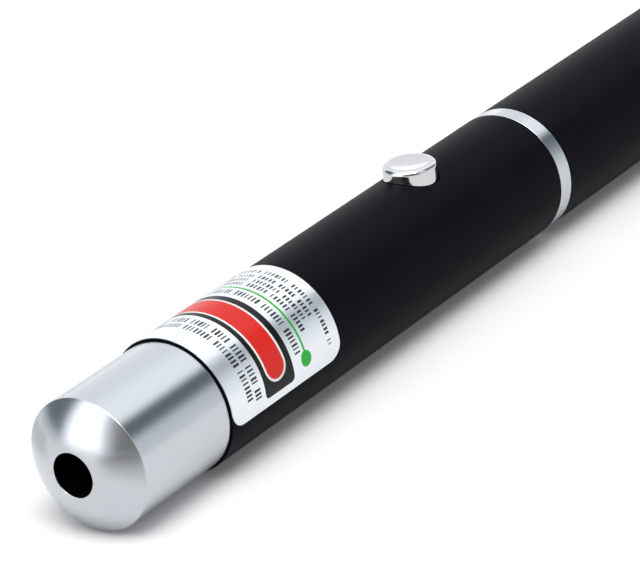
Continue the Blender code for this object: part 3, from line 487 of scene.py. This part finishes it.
# Print on the label. Each shape has its middle, its half size and its corner, in millimetres
# behind the nose's front and round from the top.
PRINT_INK = (0.008, 0.008, 0.009, 1)
PRINT_RED = (0.76, 0.028, 0.02, 1)
PRINT_GREEN = (0.03, 0.5, 0.05, 1)
PRINT_WHITE = (0.9, 0.9, 0.9, 1)
TICK_GREY = (0.04, 0.042, 0.048, 1)
THIN_CORNER = 0.02
PRINT_LAYERS = (
    # Black band, with a red stripe in a white border on it
    (((23.0, -1.2), (2.35, 12.8), 0.5), PRINT_INK),
    (((22.9, -1.5), (1.62, 12.05), 1.61), PRINT_WHITE),
    (((22.9, -1.5), (1.36, 11.8), 1.35), PRINT_RED),
    # Green line that ends in a dot
    (((27.5, -1.5), (0.14, 11.6), THIN_CORNER), PRINT_GREEN),
    (((27.5, 10.3), (0.8, 0.8), 0.79), PRINT_GREEN),
)
# Rows of ticks: how far behind the nose, the row's half height and half length, and how
# many pitches lie from one space to the next
TICK_ROWS = (
    (18.3, 0.42, 13.0, 9),
    (19.55, 0.46, 13.0, 6),
    (26.5, 0.44, 12.0, 8),
    (28.45, 0.34, 10.0, 7),
    (29.4, 0.3, 9.5, 9),
    (30.35, 0.3, 9.0, 6),
    (31.4, 0.3, 12.5, 8),
)
TICK_ROW_MIDDLE = -2.0
TICK_PITCH = 0.4
TICK_SHARES = (0.3, 0.65)

# Foil under the print
FOIL_SILVER = (0.845, 0.88, 0.915)
FOIL_METALLIC = 0.76


def label_place(tree):
    """Place on the label, (behind the nose, round from the top) in mm, and its second part."""
    coordinates = add_node(tree, "ShaderNodeTexCoord")
    split = add_node(tree, "ShaderNodeSeparateXYZ", {"Vector": coordinates.outputs["Object"]})
    x, y, z = (split.outputs[axis] for axis in "XYZ")
    behind = calculate(tree, "MULTIPLY", calculate(tree, "SUBTRACT", NOSE_HIGH.x, x), 1 / MM)
    around = calculate(tree, "MULTIPLY", calculate(tree, "ARCTAN2", y, z), BARREL_RADIUS / MM)
    place = add_node(tree, "ShaderNodeCombineXYZ", {"X": behind, "Y": around})
    return place.outputs["Vector"], around


def silver_label():
    """Silver foil print: plain bars, lines, a dot and rows of ticks under a clear film."""
    constants = {"Specular IOR Level": 0.1, "Coat Weight": 0.15, "Coat Roughness": 0.15}
    material, tree, shader = new_material("silver_label", constants)
    group = rounded_box_group()
    place, around = label_place(tree)

    def mask(shape):
        centre, half, corner = shape
        made = add_node(tree, "ShaderNodeGroup", node_tree=group)
        tree.links.new(place, made.inputs["Place"])
        made.inputs["Centre"].default_value = (*centre, 0)
        # With the corner as its third half size, the box leaves depth out of the distance
        made.inputs["Half"].default_value = (*half, corner)
        made.inputs["Corner"].default_value = corner
        return made.outputs["Mask"]

    turns = calculate(tree, "DIVIDE", around, TICK_PITCH)
    number = calculate(tree, "FLOOR", turns)
    step = calculate(tree, "FRACT", turns)
    ticks = 0.0
    for behind, half_height, half_length, group_length in TICK_ROWS:
        cell = add_node(tree, "ShaderNodeCombineXYZ", {"X": number, "Y": behind})
        chance = add_node(
            tree,
            "ShaderNodeTexWhiteNoise",
            {"Vector": cell.outputs["Vector"]},
            noise_dimensions="2D",
        )
        width = remap(tree, chance.outputs["Value"], 0, 1, *TICK_SHARES)
        dash = calculate(tree, "LESS_THAN", step, width)
        place_in_group = calculate(tree, "FLOORED_MODULO", number, group_length)
        printed = calculate(tree, "GREATER_THAN", place_in_group, SWITCH_POINT)
        shape = ((behind, TICK_ROW_MIDDLE), (half_height, half_length), THIN_CORNER)
        row = calculate(tree, "MULTIPLY", mask(shape), calculate(tree, "MULTIPLY", printed, dash))
        ticks = calculate(tree, "MAXIMUM", ticks, row)

    foil = noise(tree, scale=1400, stretch=(0.3, 1, 1))
    darker, lighter = shade_pair(FOIL_SILVER, spread=0.02)
    colour = blend_colour(tree, foil, darker, lighter)
    colour = blend_colour(tree, ticks, colour, TICK_GREY)
    ink = ticks
    for shape, paint in PRINT_LAYERS:
        share = mask(shape)
        colour = blend_colour(tree, share, colour, paint)
        ink = calculate(tree, "MAXIMUM", ink, share)
    tree.links.new(colour, shader.inputs["Base Color"])
    tree.links.new(remap(tree, ink, 0, 1, FOIL_METALLIC, 0), shader.inputs["Metallic"])
    vary_roughness(tree, shader, foil, smoothest=0.26, roughest=0.34)
    return material


def floor_material():
    """White floor that keeps its shadows, whitest where a camera or metal sees it."""
    constants = {"Roughness": 1, "Specular IOR Level": 0, "Emission Color": (1, 1, 1, 1)}
    material, tree, shader = new_material("studio_floor", constants)
    darker, lighter = shade_pair((FLOOR_ALBEDO,) * 3, spread=0.01)
    plain = blend_colour(tree, noise(tree, scale=40), darker, lighter)
    seen = seen_directly(tree)
    white = blend_colour(tree, seen, plain, (FLOOR_WHITE, FLOOR_WHITE, FLOOR_WHITE, 1))
    tree.links.new(white, shader.inputs["Base Color"])
    lift = calculate(tree, "MULTIPLY", seen, FLOOR_LIFT)
    tree.links.new(lift, shader.inputs["Emission Strength"])
    return material


# Mesh helpers


def rounded(corners, closed=True):
    """The (along, radius) points of (along, radius, fillet) corners, with each fillet as an arc."""
    points = []
    count = len(corners)
    for index, (along, radius, fillet) in enumerate(corners):
        here = Vector((along, radius))
        at_end = not closed and index in (0, count - 1)
        if not fillet or at_end:
            points.append(here)
            continue
        before = (Vector(corners[index - 1][:2]) - here).normalized()
        after = (Vector(corners[(index + 1) % count][:2]) - here).normalized()
        half_angle = before.angle(after) / 2
        centre = here + (before + after).normalized() * fillet / math.sin(half_angle)
        start = here + before * fillet / math.tan(half_angle) - centre
        turn = start.angle_signed(here + after * fillet / math.tan(half_angle) - centre)
        for step in range(FILLET_STEPS + 1):
            spun = start.copy()
            spun.rotate(Matrix.Rotation(-turn * step / FILLET_STEPS, 2))
            points.append(centre + spun)
    return points


def spin(name, points, closed=True, axis="X", steps=TURN_STEPS):
    """A mesh object turned from (along, radius) points about the X or the Z axis."""
    bm = bmesh.new()
    if axis == "X":
        verts = [bm.verts.new((along, radius, 0)) for along, radius in points]
    else:
        verts = [bm.verts.new((radius, 0, along)) for along, radius in points]
    edges = [bm.edges.new(pair) for pair in zip(verts, verts[1:])]
    if closed:
        edges.append(bm.edges.new((verts[-1], verts[0])))
    bmesh.ops.spin(
        bm,
        geom=verts + edges,
        cent=(0, 0, 0),
        axis=(1, 0, 0) if axis == "X" else (0, 0, 1),
        angle=math.tau,
        steps=steps,
        use_merge=True,
    )
    bmesh.ops.remove_doubles(bm, verts=bm.verts, dist=WELD_DISTANCE)
    bmesh.ops.recalc_face_normals(bm, faces=bm.faces)
    return mesh_object(name, bm)


def mesh_object(name, bm):
    mesh = bpy.data.meshes.new(name)
    bm.to_mesh(mesh)
    bm.free()
    mesh.shade_smooth()
    obj = bpy.data.objects.new(name, mesh)
    bpy.context.scene.collection.objects.link(obj)
    return obj


def dress(obj, node, material):
    """Makes obj the shown form of a CAD node, on that node's body."""
    body = frame["nodes"][node]["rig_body"]
    obj.data.materials.append(material)
    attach(obj, body)
    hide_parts(node)
    return obj


def weigh_normals(obj):
    modifier = obj.modifiers.new("weighted_normals", "WEIGHTED_NORMAL")
    modifier.weight = NORMAL_WEIGHT


def cut(obj, cutter, edge):
    """Cuts one object out of another for good, and softens the new edges."""
    boolean = obj.modifiers.new("cut", "BOOLEAN")
    boolean.operation = "DIFFERENCE"
    boolean.object = cutter
    bevel = obj.modifiers.new("edge", "BEVEL")
    bevel.width = edge
    bevel.segments = CUT_EDGE_SEGMENTS
    bevel.limit_method = "ANGLE"
    bevel.angle_limit = CUT_EDGE_ANGLE
    shape = obj.evaluated_get(bpy.context.evaluated_depsgraph_get())
    mesh = bpy.data.meshes.new_from_object(shape)
    obj.modifiers.clear()
    obj.data = mesh
    bpy.data.objects.remove(cutter)


# Pieces


def nose_cap(materials):
    """Domed cap. The bore behind its aperture gets painted shade, a near-black material on its
    inner faces.
    """
    front = NOSE_HIGH.x
    shoulder = FRONT_END + NOSE_SEAM
    dome_top = front + DOME_RADIUS - math.sqrt(DOME_RADIUS**2 - APERTURE_RADIUS**2)
    dome_centre = dome_top - DOME_RADIUS
    corners = []
    for step in range(DOME_STEPS + 1):
        radius = APERTURE_RADIUS + (NOSE_RADIUS - APERTURE_RADIUS) * step / DOME_STEPS
        along = dome_centre + math.sqrt(DOME_RADIUS**2 - radius**2)
        fillet = {0: APERTURE_FILLET, DOME_STEPS: RIM_FILLET}.get(step, 0)
        corners.append((along, radius, fillet))
    corners += [
        (shoulder, NOSE_RADIUS, RING_FILLET),
        (shoulder, NOSE_SPIGOT_RADIUS, 0),
        (NOSE_LOW.x, NOSE_SPIGOT_RADIUS, RING_FILLET),
        (NOSE_LOW.x, NOSE_BORE, 0),
        (front - NOSE_FRONT_WALL, NOSE_BORE, 0),
        (front - NOSE_FRONT_WALL, APERTURE_RADIUS, 0),
    ]
    nose = spin("nose_cap_shell", rounded(corners))
    dress(nose, "nose_cap", materials["satin_plating"])
    nose.data.materials.append(materials["bore_painted_shade"])
    # Faces inside the bore that don't look ahead take the painted shade, near black
    for face in nose.data.polygons:
        radius = math.hypot(face.center.y, face.center.z)
        if radius < NOSE_BORE + RING_FILLET and face.normal.x < AHEAD_NORMAL:
            face.material_index = 1
    weigh_normals(nose)


def front_barrel(materials):
    """Painted tube with the button's hole."""
    corners = [
        (FRONT_END, BARREL_RADIUS, BARREL_FILLET),
        (FRONT_LOW.x, BARREL_RADIUS, RING_FILLET),
        (FRONT_LOW.x, FRONT_BORE, 0),
        (FRONT_END, FRONT_BORE, 0),
    ]
    barrel = spin("front_barrel_tube", rounded(corners))
    hole = [
        (0, 0),
        (0, BUTTON_HOLE_RADIUS),
        (2 * BARREL_RADIUS, BUTTON_HOLE_RADIUS),
        (2 * BARREL_RADIUS, 0),
    ]
    cutter = spin("button_hole_cutter", hole, closed=False, axis="Z", steps=SMALL_TURN_STEPS)
    cutter.location.x = (BUTTON_LOW.x + BUTTON_HIGH.x) / 2
    cut(barrel, cutter, HOLE_EDGE)
    weigh_normals(dress(barrel, "front_barrel", materials["satin_paint"]))


def middle_ring(materials):
    corners = [
        (RING_HIGH.x, BARREL_RADIUS, RING_FILLET),
        (RING_LOW.x, BARREL_RADIUS, RING_FILLET),
        (RING_LOW.x, FRONT_BORE, 0),
        (RING_HIGH.x, FRONT_BORE, 0),
    ]
    ring = spin("middle_ring_band", rounded(corners))
    weigh_normals(dress(ring, "middle_ring", materials["satin_plating"]))


def rear_barrel(materials):
    """Painted tube with its wider bores for the thread and for the tail cap."""
    thread_end = REAR_HIGH.x - THREAD_BORE_DEPTH
    tail_seat = REAR_LOW.x + TAIL_BORE_DEPTH
    corners = [
        (REAR_HIGH.x, BARREL_RADIUS, RING_FILLET),
        (REAR_LOW.x, BARREL_RADIUS, BARREL_FILLET),
        (REAR_LOW.x, TAIL_BORE, 0),
        (tail_seat, TAIL_BORE, 0),
        (tail_seat, REAR_BORE, 0),
        (thread_end, REAR_BORE, 0),
        (thread_end, THREAD_BORE, 0),
        (REAR_HIGH.x, THREAD_BORE, 0),
    ]
    barrel = spin("rear_barrel_tube", rounded(corners))
    weigh_normals(dress(barrel, "rear_barrel", materials["satin_paint"]))


def tail_cap(materials):
    """Cup with a rounded end and the clip's slot."""
    shoulder = REAR_LOW.x - (FRONT_LOW.x - RING_HIGH.x)
    corners = [
        (TAIL_WALL, 0, 0),
        (TAIL_WALL, COUPLER_BORE, 0),
        (TAIL_HIGH.x, COUPLER_BORE, 0),
        (TAIL_HIGH.x, TAIL_SPIGOT_RADIUS, RING_FILLET),
        (shoulder, TAIL_SPIGOT_RADIUS, 0),
        (shoulder, BARREL_RADIUS, BARREL_FILLET),
        (TAIL_LOW.x, BARREL_RADIUS, TAIL_FILLET),
        (TAIL_LOW.x, 0, 0),
    ]
    cap = spin("tail_cap_cup", rounded(corners, closed=False), closed=False)
    bm = bmesh.new()
    bmesh.ops.create_cube(bm, size=1)
    slot_size = (
        CLIP_THICKNESS + 2 * CLIP_SLOT_CLEARANCE,
        CLIP_TIP_WIDTH + 2 * CLIP_SLOT_CLEARANCE,
        2 * (BARREL_RADIUS - COUPLER_BORE),
    )
    bmesh.ops.scale(bm, vec=slot_size, verts=bm.verts)
    bmesh.ops.translate(bm, vec=(CLIP_FROM_TAIL, 0, BARREL_RADIUS), verts=bm.verts)
    slot = mesh_object("clip_slot_cutter", bm)
    slot.rotation_euler.x = CLIP_TURN
    cut(cap, slot, HOLE_EDGE)
    weigh_normals(dress(cap, "tail_cap", materials["satin_plating"]))


def threaded_coupler(materials):
    """Sleeve with a helical thread, which shows when the rear barrel is unscrewed."""
    start = REAR_HIGH.x - THREAD_FROM_REAR
    end = start - THREAD_PITCH * THREAD_TURNS
    crest = COUPLER_HIGH.z
    rows = THREAD_TURNS * THREAD_ROWS
    outside = [(COUPLER_HIGH.x, COUPLER_RADIUS), (start, COUPLER_RADIUS)]
    outside += [(start + (end - start) * row / rows, crest) for row in range(rows + 1)]
    outside += [(end, COUPLER_RADIUS), (COUPLER_LOW.x, COUPLER_RADIUS)]
    inside = [(COUPLER_LOW.x, COUPLER_BORE), (COUPLER_HIGH.x, COUPLER_BORE)]
    coupler = spin("threaded_coupler_sleeve", outside + inside, steps=THREAD_STEPS)
    for vert in coupler.data.vertices:
        radius = math.hypot(vert.co.y, vert.co.z)
        place = start - vert.co.x
        if radius < (crest + COUPLER_RADIUS) / 2 or not 0 < place < start - end:
            continue
        turn = math.atan2(vert.co.z, -vert.co.y) / math.tau
        wave = 1 - abs(2 * ((place / THREAD_PITCH + turn) % 1) - 1)
        fade = min(place, start - end - place) / (THREAD_PITCH * THREAD_FADE_SHARE)
        scale = (crest - THREAD_DEPTH * wave * min(fade, 1)) / radius
        vert.co.y *= scale
        vert.co.z *= scale
    coupler.data.set_sharp_from_angle(angle=SMOOTH_ANGLE)
    dress(coupler, "threaded_coupler", materials["turned_brass"])


def button_cap(materials):
    """Polished cap with a dished top, a rounded edge and the flange under the barrel's wall."""
    top = BUTTON_HIGH.z
    flange_radius = (BUTTON_HIGH.x - BUTTON_LOW.x) / 2
    flange_top = BUTTON_LOW.z + FLANGE_THICKNESS
    corners = []
    for step in range(DISH_STEPS + 1):
        share = step / DISH_STEPS
        corners.append((top - BUTTON_DISH * (1 - share**2), share * DISH_RADIUS, 0))
    corners += [
        (top - BUTTON_CORNER_DROP, BUTTON_RADIUS, BUTTON_EDGE),
        (flange_top, BUTTON_RADIUS, 0),
        (flange_top, flange_radius, RING_FILLET),
        (BUTTON_LOW.z, flange_radius, RING_FILLET),
        (BUTTON_LOW.z, 0, 0),
    ]
    profile = rounded(corners, closed=False)
    button = spin("button_cap_body", profile, closed=False, axis="Z", steps=SMALL_TURN_STEPS)
    button.location.x = (BUTTON_LOW.x + BUTTON_HIGH.x) / 2
    weigh_normals(dress(button, "button_cap", materials["bright_plating"]))


def foil_label(materials):
    """Thin sheet with rounded corners, bent round the front barrel over its top."""
    radius = BARREL_RADIUS + LABEL_GAP
    centre = FRONT_END - LABEL_FROM_EDGE - LABEL_LENGTH / 2
    corner = [
        LABEL_CORNER * (1 - math.cos(step * RIGHT_ANGLE / LABEL_CORNER_ROWS))
        for step in range(LABEL_CORNER_ROWS)
    ]
    middle = [
        LABEL_CORNER + (LABEL_WRAP - 2 * LABEL_CORNER) * step / LABEL_ROWS
        for step in range(LABEL_ROWS + 1)
    ]
    places = corner + middle + [LABEL_WRAP - place for place in reversed(corner)]
    bm = bmesh.new()
    bmesh.ops.create_grid(bm, x_segments=LABEL_COLUMNS, y_segments=len(places) - 1, size=1)
    for vert in bm.verts:
        place = places[round((vert.co.y + 1) / 2 * (len(places) - 1))]
        inset = max(LABEL_CORNER - min(place, LABEL_WRAP - place), 0)
        half = LABEL_LENGTH / 2 - LABEL_CORNER + math.sqrt(LABEL_CORNER**2 - inset**2)
        angle = LABEL_EDGE_ANGLE - place / radius
        vert.co = (
            centre + vert.co.x * half,
            radius * math.sin(angle),
            radius * math.cos(angle),
        )
    raised = bmesh.ops.extrude_face_region(bm, geom=bm.faces[:])["geom"]
    for vert in raised:
        if isinstance(vert, bmesh.types.BMVert):
            vert.co.yz *= (radius + LABEL_THICKNESS) / radius
    bmesh.ops.recalc_face_normals(bm, faces=bm.faces)
    label = mesh_object("foil_label_sheet", bm)
    label.data.set_sharp_from_angle(angle=SMOOTH_ANGLE)
    dress(label, "foil_label", materials["silver_label"])


def arc(centre, radius, start, end, steps):
    """Points on an arc in the (x, z) plane, angles from +X towards +Z."""
    angles = [start + (end - start) * step / steps for step in range(steps + 1)]
    return [
        (centre[0] + radius * math.cos(angle), centre[1] + radius * math.sin(angle))
        for angle in angles
    ]


def clip_path():
    """The clip's bend, arm and curled tip as (x, z) points from its root."""
    arm = CLIP_STANDOFF + CLIP_THICKNESS / 2
    corner = (CLIP_BEND, arm - CLIP_BEND)
    bend = arc(corner, CLIP_BEND, math.pi, RIGHT_ANGLE, CLIP_BEND_STEPS)
    tip = (CLIP_REACH, CLIP_TIP_GAP + CLIP_THICKNESS / 2 + CLIP_TIP_RADIUS)
    low, high = -RIGHT_ANGLE - CLIP_FALL, -RIGHT_ANGLE + 2 * CLIP_FALL
    curl = arc(tip, CLIP_TIP_RADIUS, low, high, CLIP_CURL_STEPS)
    neck = (curl[0][0] - (arm - curl[0][1]) / math.tan(CLIP_FALL), arm)
    return [(0, -CLIP_TAB), *bend, neck, *curl]


def clip_half_width(x, z):
    """Half the strip's width: narrow in the slot, wide after the bend, narrower to its tip."""
    if z < CLIP_STANDOFF + CLIP_THICKNESS / 2 - CLIP_BEND / 2 and x < CLIP_BEND:
        return CLIP_TIP_WIDTH / 2
    share = min(max((x - CLIP_BEND) / (CLIP_REACH - CLIP_BEND), 0), 1)
    return (CLIP_WIDTH + (CLIP_TIP_WIDTH - CLIP_WIDTH) * share) / 2


def pocket_clip(materials):
    """Bent steel strip with softened edges, standing in the tail cap's slot."""
    path = clip_path()
    bm = bmesh.new()
    bmesh.ops.create_grid(bm, x_segments=len(path) - 1, y_segments=1, size=1)
    for vert in bm.verts:
        x, z = path[round((vert.co.x + 1) / 2 * (len(path) - 1))]
        vert.co = (x, vert.co.y * clip_half_width(x, z), z)
    bmesh.ops.rotate(bm, cent=(0, 0, 0), matrix=Matrix.Rotation(CLIP_TURN, 3, "X"), verts=bm.verts)
    root = (
        CLIP_FROM_TAIL,
        -BARREL_RADIUS * math.sin(CLIP_TURN),
        BARREL_RADIUS * math.cos(CLIP_TURN),
    )
    bmesh.ops.translate(bm, vec=root, verts=bm.verts)
    clip = mesh_object("pocket_clip_strip", bm)
    solidify = clip.modifiers.new("thickness", "SOLIDIFY")
    solidify.thickness = CLIP_THICKNESS
    solidify.offset = 0
    solidify.use_even_offset = True
    bevel = clip.modifiers.new("edge", "BEVEL")
    bevel.width = CLIP_EDGE
    bevel.segments = CLIP_EDGE_SEGMENTS
    bevel.limit_method = "ANGLE"
    bevel.angle_limit = CLIP_EDGE_ANGLE
    weigh_normals(dress(clip, "pocket_clip", materials["brushed_steel"]))


# Finish and record slot of each piece inside the pen
INNER_FINISHES = {
    "turned_brass": (
        "brass",
        ("module_housing", "lens_barrel", "lens_ring", "crystal_holder", "diode_sleeve"),
    ),
    "clear_glass": ("lens_glass", ("collimating_lens", "expander_lens")),
    "laser_crystal": ("crystal", ("crystal_set",)),
    "brushed_steel": (
        "steel",
        (
            "pump_diode",
            "diode_lead_1",
            "diode_lead_2",
            "diode_lead_3",
            "switch_cover",
            "switch_lead_1",
            "switch_lead_2",
            "switch_lead_3",
            "switch_lead_4",
            "cell_1_cap",
            "cell_2_cap",
        ),
    ),
    "spring_wire": ("spring_steel", ("contact_spring", "tail_spring")),
    "circuit_board": ("board_green", ("driver_board", "contact_board")),
    "black_resin": (
        "part_black",
        ("driver_chip", "board_resistor_1", "board_resistor_2", "switch_base", "switch_plunger"),
    ),
    "blue_resin": ("part_blue", ("trimmer",)),
    "yellow_resin": ("part_yellow", ("board_capacitor",)),
    "cell_lacquer": ("cell_sleeve", ("cell_1_can", "cell_2_can")),
    "washer_fibre": ("cell_washer", ("cell_1_washer", "cell_2_washer")),
}


def inner_piece(node, material):
    """A CAD node inside the pen, welded so that its round faces shade smooth."""
    bm = bmesh.new()
    bm.from_mesh(frame["nodes"][node].data)
    bmesh.ops.remove_doubles(bm, verts=bm.verts, dist=WELD_DISTANCE)
    piece = mesh_object(f"{node}_piece", bm)
    piece.data.set_sharp_from_angle(angle=SMOOTH_ANGLE)
    dress(piece, node, material)


def build_pieces():
    materials = {
        made.name: made
        for made in (
            satin_plating(),
            bright_plating(),
            satin_paint(),
            bore_painted_shade(),
            turned_brass(),
            brushed_steel(),
            spring_wire(),
            clear_glass(),
            laser_crystal(),
            circuit_board(),
            cell_lacquer(),
            silver_label(),
            moulded("black_resin", colour=(0.02, 0.02, 0.02), roughness=0.5),
            moulded("blue_resin", colour=(0.04, 0.1, 0.4), roughness=0.45),
            moulded("yellow_resin", colour=(0.62, 0.36, 0.05), roughness=0.45),
            moulded("washer_fibre", colour=(0.8, 0.8, 0.76), roughness=0.7),
        )
    }
    for build in (
        nose_cap,
        front_barrel,
        foil_label,
        middle_ring,
        button_cap,
        threaded_coupler,
        rear_barrel,
        tail_cap,
        pocket_clip,
    ):
        build(materials)
    for name, (slot, nodes) in INNER_FINISHES.items():
        for node in nodes:
            inner_piece(node, materials[name])


# Studio


def make_floor():
    bm = bmesh.new()
    bmesh.ops.create_grid(bm, x_segments=1, y_segments=1, size=FLOOR_SIDE / 2)
    floor = mesh_object("studio_floor", bm)
    floor.location.z = FLOOR_HEIGHT
    floor.data.materials.append(floor_material())


def make_camera():
    camera = bpy.data.objects.new("photo_camera", bpy.data.cameras.new("photo_camera"))
    bpy.context.scene.collection.objects.link(camera)
    camera.data.lens = CAMERA_LENS
    camera.data.sensor_width = CAMERA_SENSOR
    camera.data.clip_start = CAMERA_CLIP_START
    camera.location = CAMERA_PLACE
    aim = (CAMERA_TARGET - CAMERA_PLACE).to_track_quat("-Z", "Y").to_matrix()
    roll = Matrix.Rotation(CAMERA_ROLL, 3, "Z")
    camera.rotation_euler = (aim @ roll).to_euler()
    bpy.context.scene.camera = camera


# The studio's air: a pale tent, brighter overhead, with a dark gap along the pen's side and
# panels behind and ahead of it. Each band has its middle, half width and soft edge, in
# degrees: "round" the pen from its +Y side over the top, "compass" from +X to +Y, and "rise".
TENT_SIDE = (0.85, 0.88, 0.92, 1)
TENT_TOP = (1.35, 1.37, 1.4, 1)
TENT_RISE = (25, 65)
SIDE_GAP = {"colour": (0.105, 0.145, 0.18, 1), "round": (44, 7, 16), "compass": (146, 26, 16)}
BEHIND_PANELS = (
    {"colour": (0.28, 0.31, 0.34, 1), "round": (26, 8, 14), "compass": (153, 8, 8)},
    {"colour": (1.12, 1.14, 1.17, 1), "compass": (-140, 22, 16), "rise": (26, 14, 7)},
    {"colour": (1.48, 1.48, 1.48, 1), "compass": (-143, 5, 3), "rise": (11.5, 3.5, 3.5)},
)
AHEAD_PANELS = (
    {"colour": (0.25, 0.245, 0.24, 1), "compass": (42, 19, 28), "rise": (18, 28, 14)},
    {"colour": (0.18, 0.21, 0.24, 1), "compass": (-72, 16, 14), "rise": (25, 14, 17)},
    {"colour": (2.2, 2.2, 2.2, 1), "compass": (-20.5, 16.5, 7), "rise": (34, 26, 8)},
)
# Two curved cards low beside the nose, which only mirrors show: they glow grey as a painted
# reflection and light nothing. They fade to their sides and to the floor.
CARD_MIDDLE = Vector((157.0 * MM, -4.0 * MM, 0))
CARD_RADIUS = 15.0 * MM
CARD_TOP = 2.1 * MM
CARD_STEPS = 24
REFLECTION_CARDS = {
    "card_ahead": {
        "colour": (0.25, 0.245, 0.24, 1),
        "compass": (54, 12, 28),
        "rise": (22, 4, 42),
    },
    "card_aside": {
        "colour": (0.8, 0.81, 0.82, 1),
        "compass": (-92, 18, 20),
        "rise": (-2, 5, 14),
    },
}
AIR_ON_OBJECT = 0.4


def band(tree, value, middle, half, soft):
    """1 where an angle is within half of the middle, falling to 0 over soft, in degrees."""
    away = calculate(tree, "ABSOLUTE", calculate(tree, "SUBTRACT", value, math.radians(middle)))
    low, high = math.radians(half), math.radians(half + soft)
    return remap(tree, away, low, high, 1, 0, "SMOOTHSTEP")


def painted_reflection_material(name, look):
    """Painted reflection: a plain grey glow that fades out by the angles seen from the middle of
    the card's arc.
    """
    constants = {
        "Base Color": (0, 0, 0, 1),
        "Specular IOR Level": 0,
        "Emission Color": look["colour"],
        "Emission Strength": 1,
    }
    material, tree, shader = new_material(f"{name}_painted_reflection", constants)
    place = add_node(tree, "ShaderNodeTexCoord").outputs["Object"]
    direction = add_node(tree, "ShaderNodeVectorMath", {0: place}, operation="NORMALIZE")
    split = add_node(tree, "ShaderNodeSeparateXYZ", {"Vector": direction.outputs[0]})
    x, y, z = (split.outputs[axis] for axis in "XYZ")
    across = band(tree, calculate(tree, "ARCTAN2", y, x), *look["compass"])
    down = band(tree, calculate(tree, "ARCSINE", z), *look["rise"])
    tree.links.new(calculate(tree, "MULTIPLY", across, down), shader.inputs["Alpha"])
    return material


def make_world():
    """Full strength for what is seen or mirrored, less for the light on the object."""
    world = bpy.data.worlds.new("studio_air")
    world.use_nodes = True
    bpy.context.scene.world = world
    tree = world.node_tree
    direction = add_node(tree, "ShaderNodeTexCoord").outputs["Generated"]
    split = add_node(tree, "ShaderNodeSeparateXYZ", {"Vector": direction})
    x, y, z = (split.outputs[axis] for axis in "XYZ")
    found = {
        "round": calculate(tree, "ARCTAN2", z, y),
        "compass": calculate(tree, "ARCTAN2", y, x),
        "rise": calculate(tree, "ARCSINE", z),
    }
    low, high = (math.radians(value) for value in TENT_RISE)
    over = remap(tree, found["round"], low, high, 0, 1, "SMOOTHSTEP")
    colour = blend_colour(tree, over, TENT_SIDE, TENT_TOP)
    for panel in (SIDE_GAP, *BEHIND_PANELS, *AHEAD_PANELS):
        share = 1.0
        for name in found:
            if name in panel:
                limits = band(tree, found[name], *panel[name])
                share = calculate(tree, "MULTIPLY", share, limits)
        colour = blend_colour(tree, share, colour, panel["colour"])
    background = tree.nodes["Background"]
    tree.links.new(colour, background.inputs["Color"])
    strength = remap(tree, seen_directly(tree), 0, 1, AIR_ON_OBJECT, 1)
    tree.links.new(strength, background.inputs["Strength"])


def make_card(name, look):
    """A grey card standing in an arc beside the nose, seen by its reflection alone: it glows as a
    painted reflection.
    """
    middle, half, soft = look["compass"]
    start, sweep = math.radians(middle - half - soft), math.radians(2 * (half + soft))
    bm = bmesh.new()
    rows = []
    for height in (FLOOR_HEIGHT, CARD_TOP):
        angles = (start + sweep * step / CARD_STEPS for step in range(CARD_STEPS + 1))
        rows.append([
            bm.verts.new((CARD_RADIUS * math.cos(angle), CARD_RADIUS * math.sin(angle), height))
            for angle in angles
        ])
    low, high = rows
    for step in range(CARD_STEPS):
        bm.faces.new((low[step], low[step + 1], high[step + 1], high[step]))
    card = mesh_object(name, bm)
    card.location = CARD_MIDDLE
    card.data.materials.append(painted_reflection_material(name, look))
    # Hidden from the camera, from diffuse light and from shadows, so it is only a painted
    # reflection
    card.visible_camera = card.visible_diffuse = card.visible_shadow = False


def make_key_lamp():
    """A large softbox over the pen, leaning ahead of it and to the camera's side."""
    light = bpy.data.lights.new("key_softbox", "AREA")
    light.shape = "SQUARE"
    light.size = KEY_SIDE
    light.energy = KEY_WATTS
    lamp = bpy.data.objects.new("key_softbox", light)
    bpy.context.scene.collection.objects.link(lamp)
    middle = Vector(((CAD_BOX[0].x + CAD_BOX[1].x) / 2, 0, FLOOR_HEIGHT))
    towards = Vector((
        math.sin(KEY_LEAN) * math.cos(KEY_COMPASS),
        math.sin(KEY_LEAN) * math.sin(KEY_COMPASS),
        math.cos(KEY_LEAN),
    ))
    lamp.location = middle + towards * KEY_DISTANCE
    lamp.rotation_euler = towards.to_track_quat("Z", "Y").to_euler()


def set_view():
    bpy.context.scene.view_settings.view_transform = "Standard"


build_pieces()
make_floor()
make_camera()
make_world()
for card_name, card_look in REFLECTION_CARDS.items():
    make_card(card_name, card_look)
make_key_lamp()
set_view()
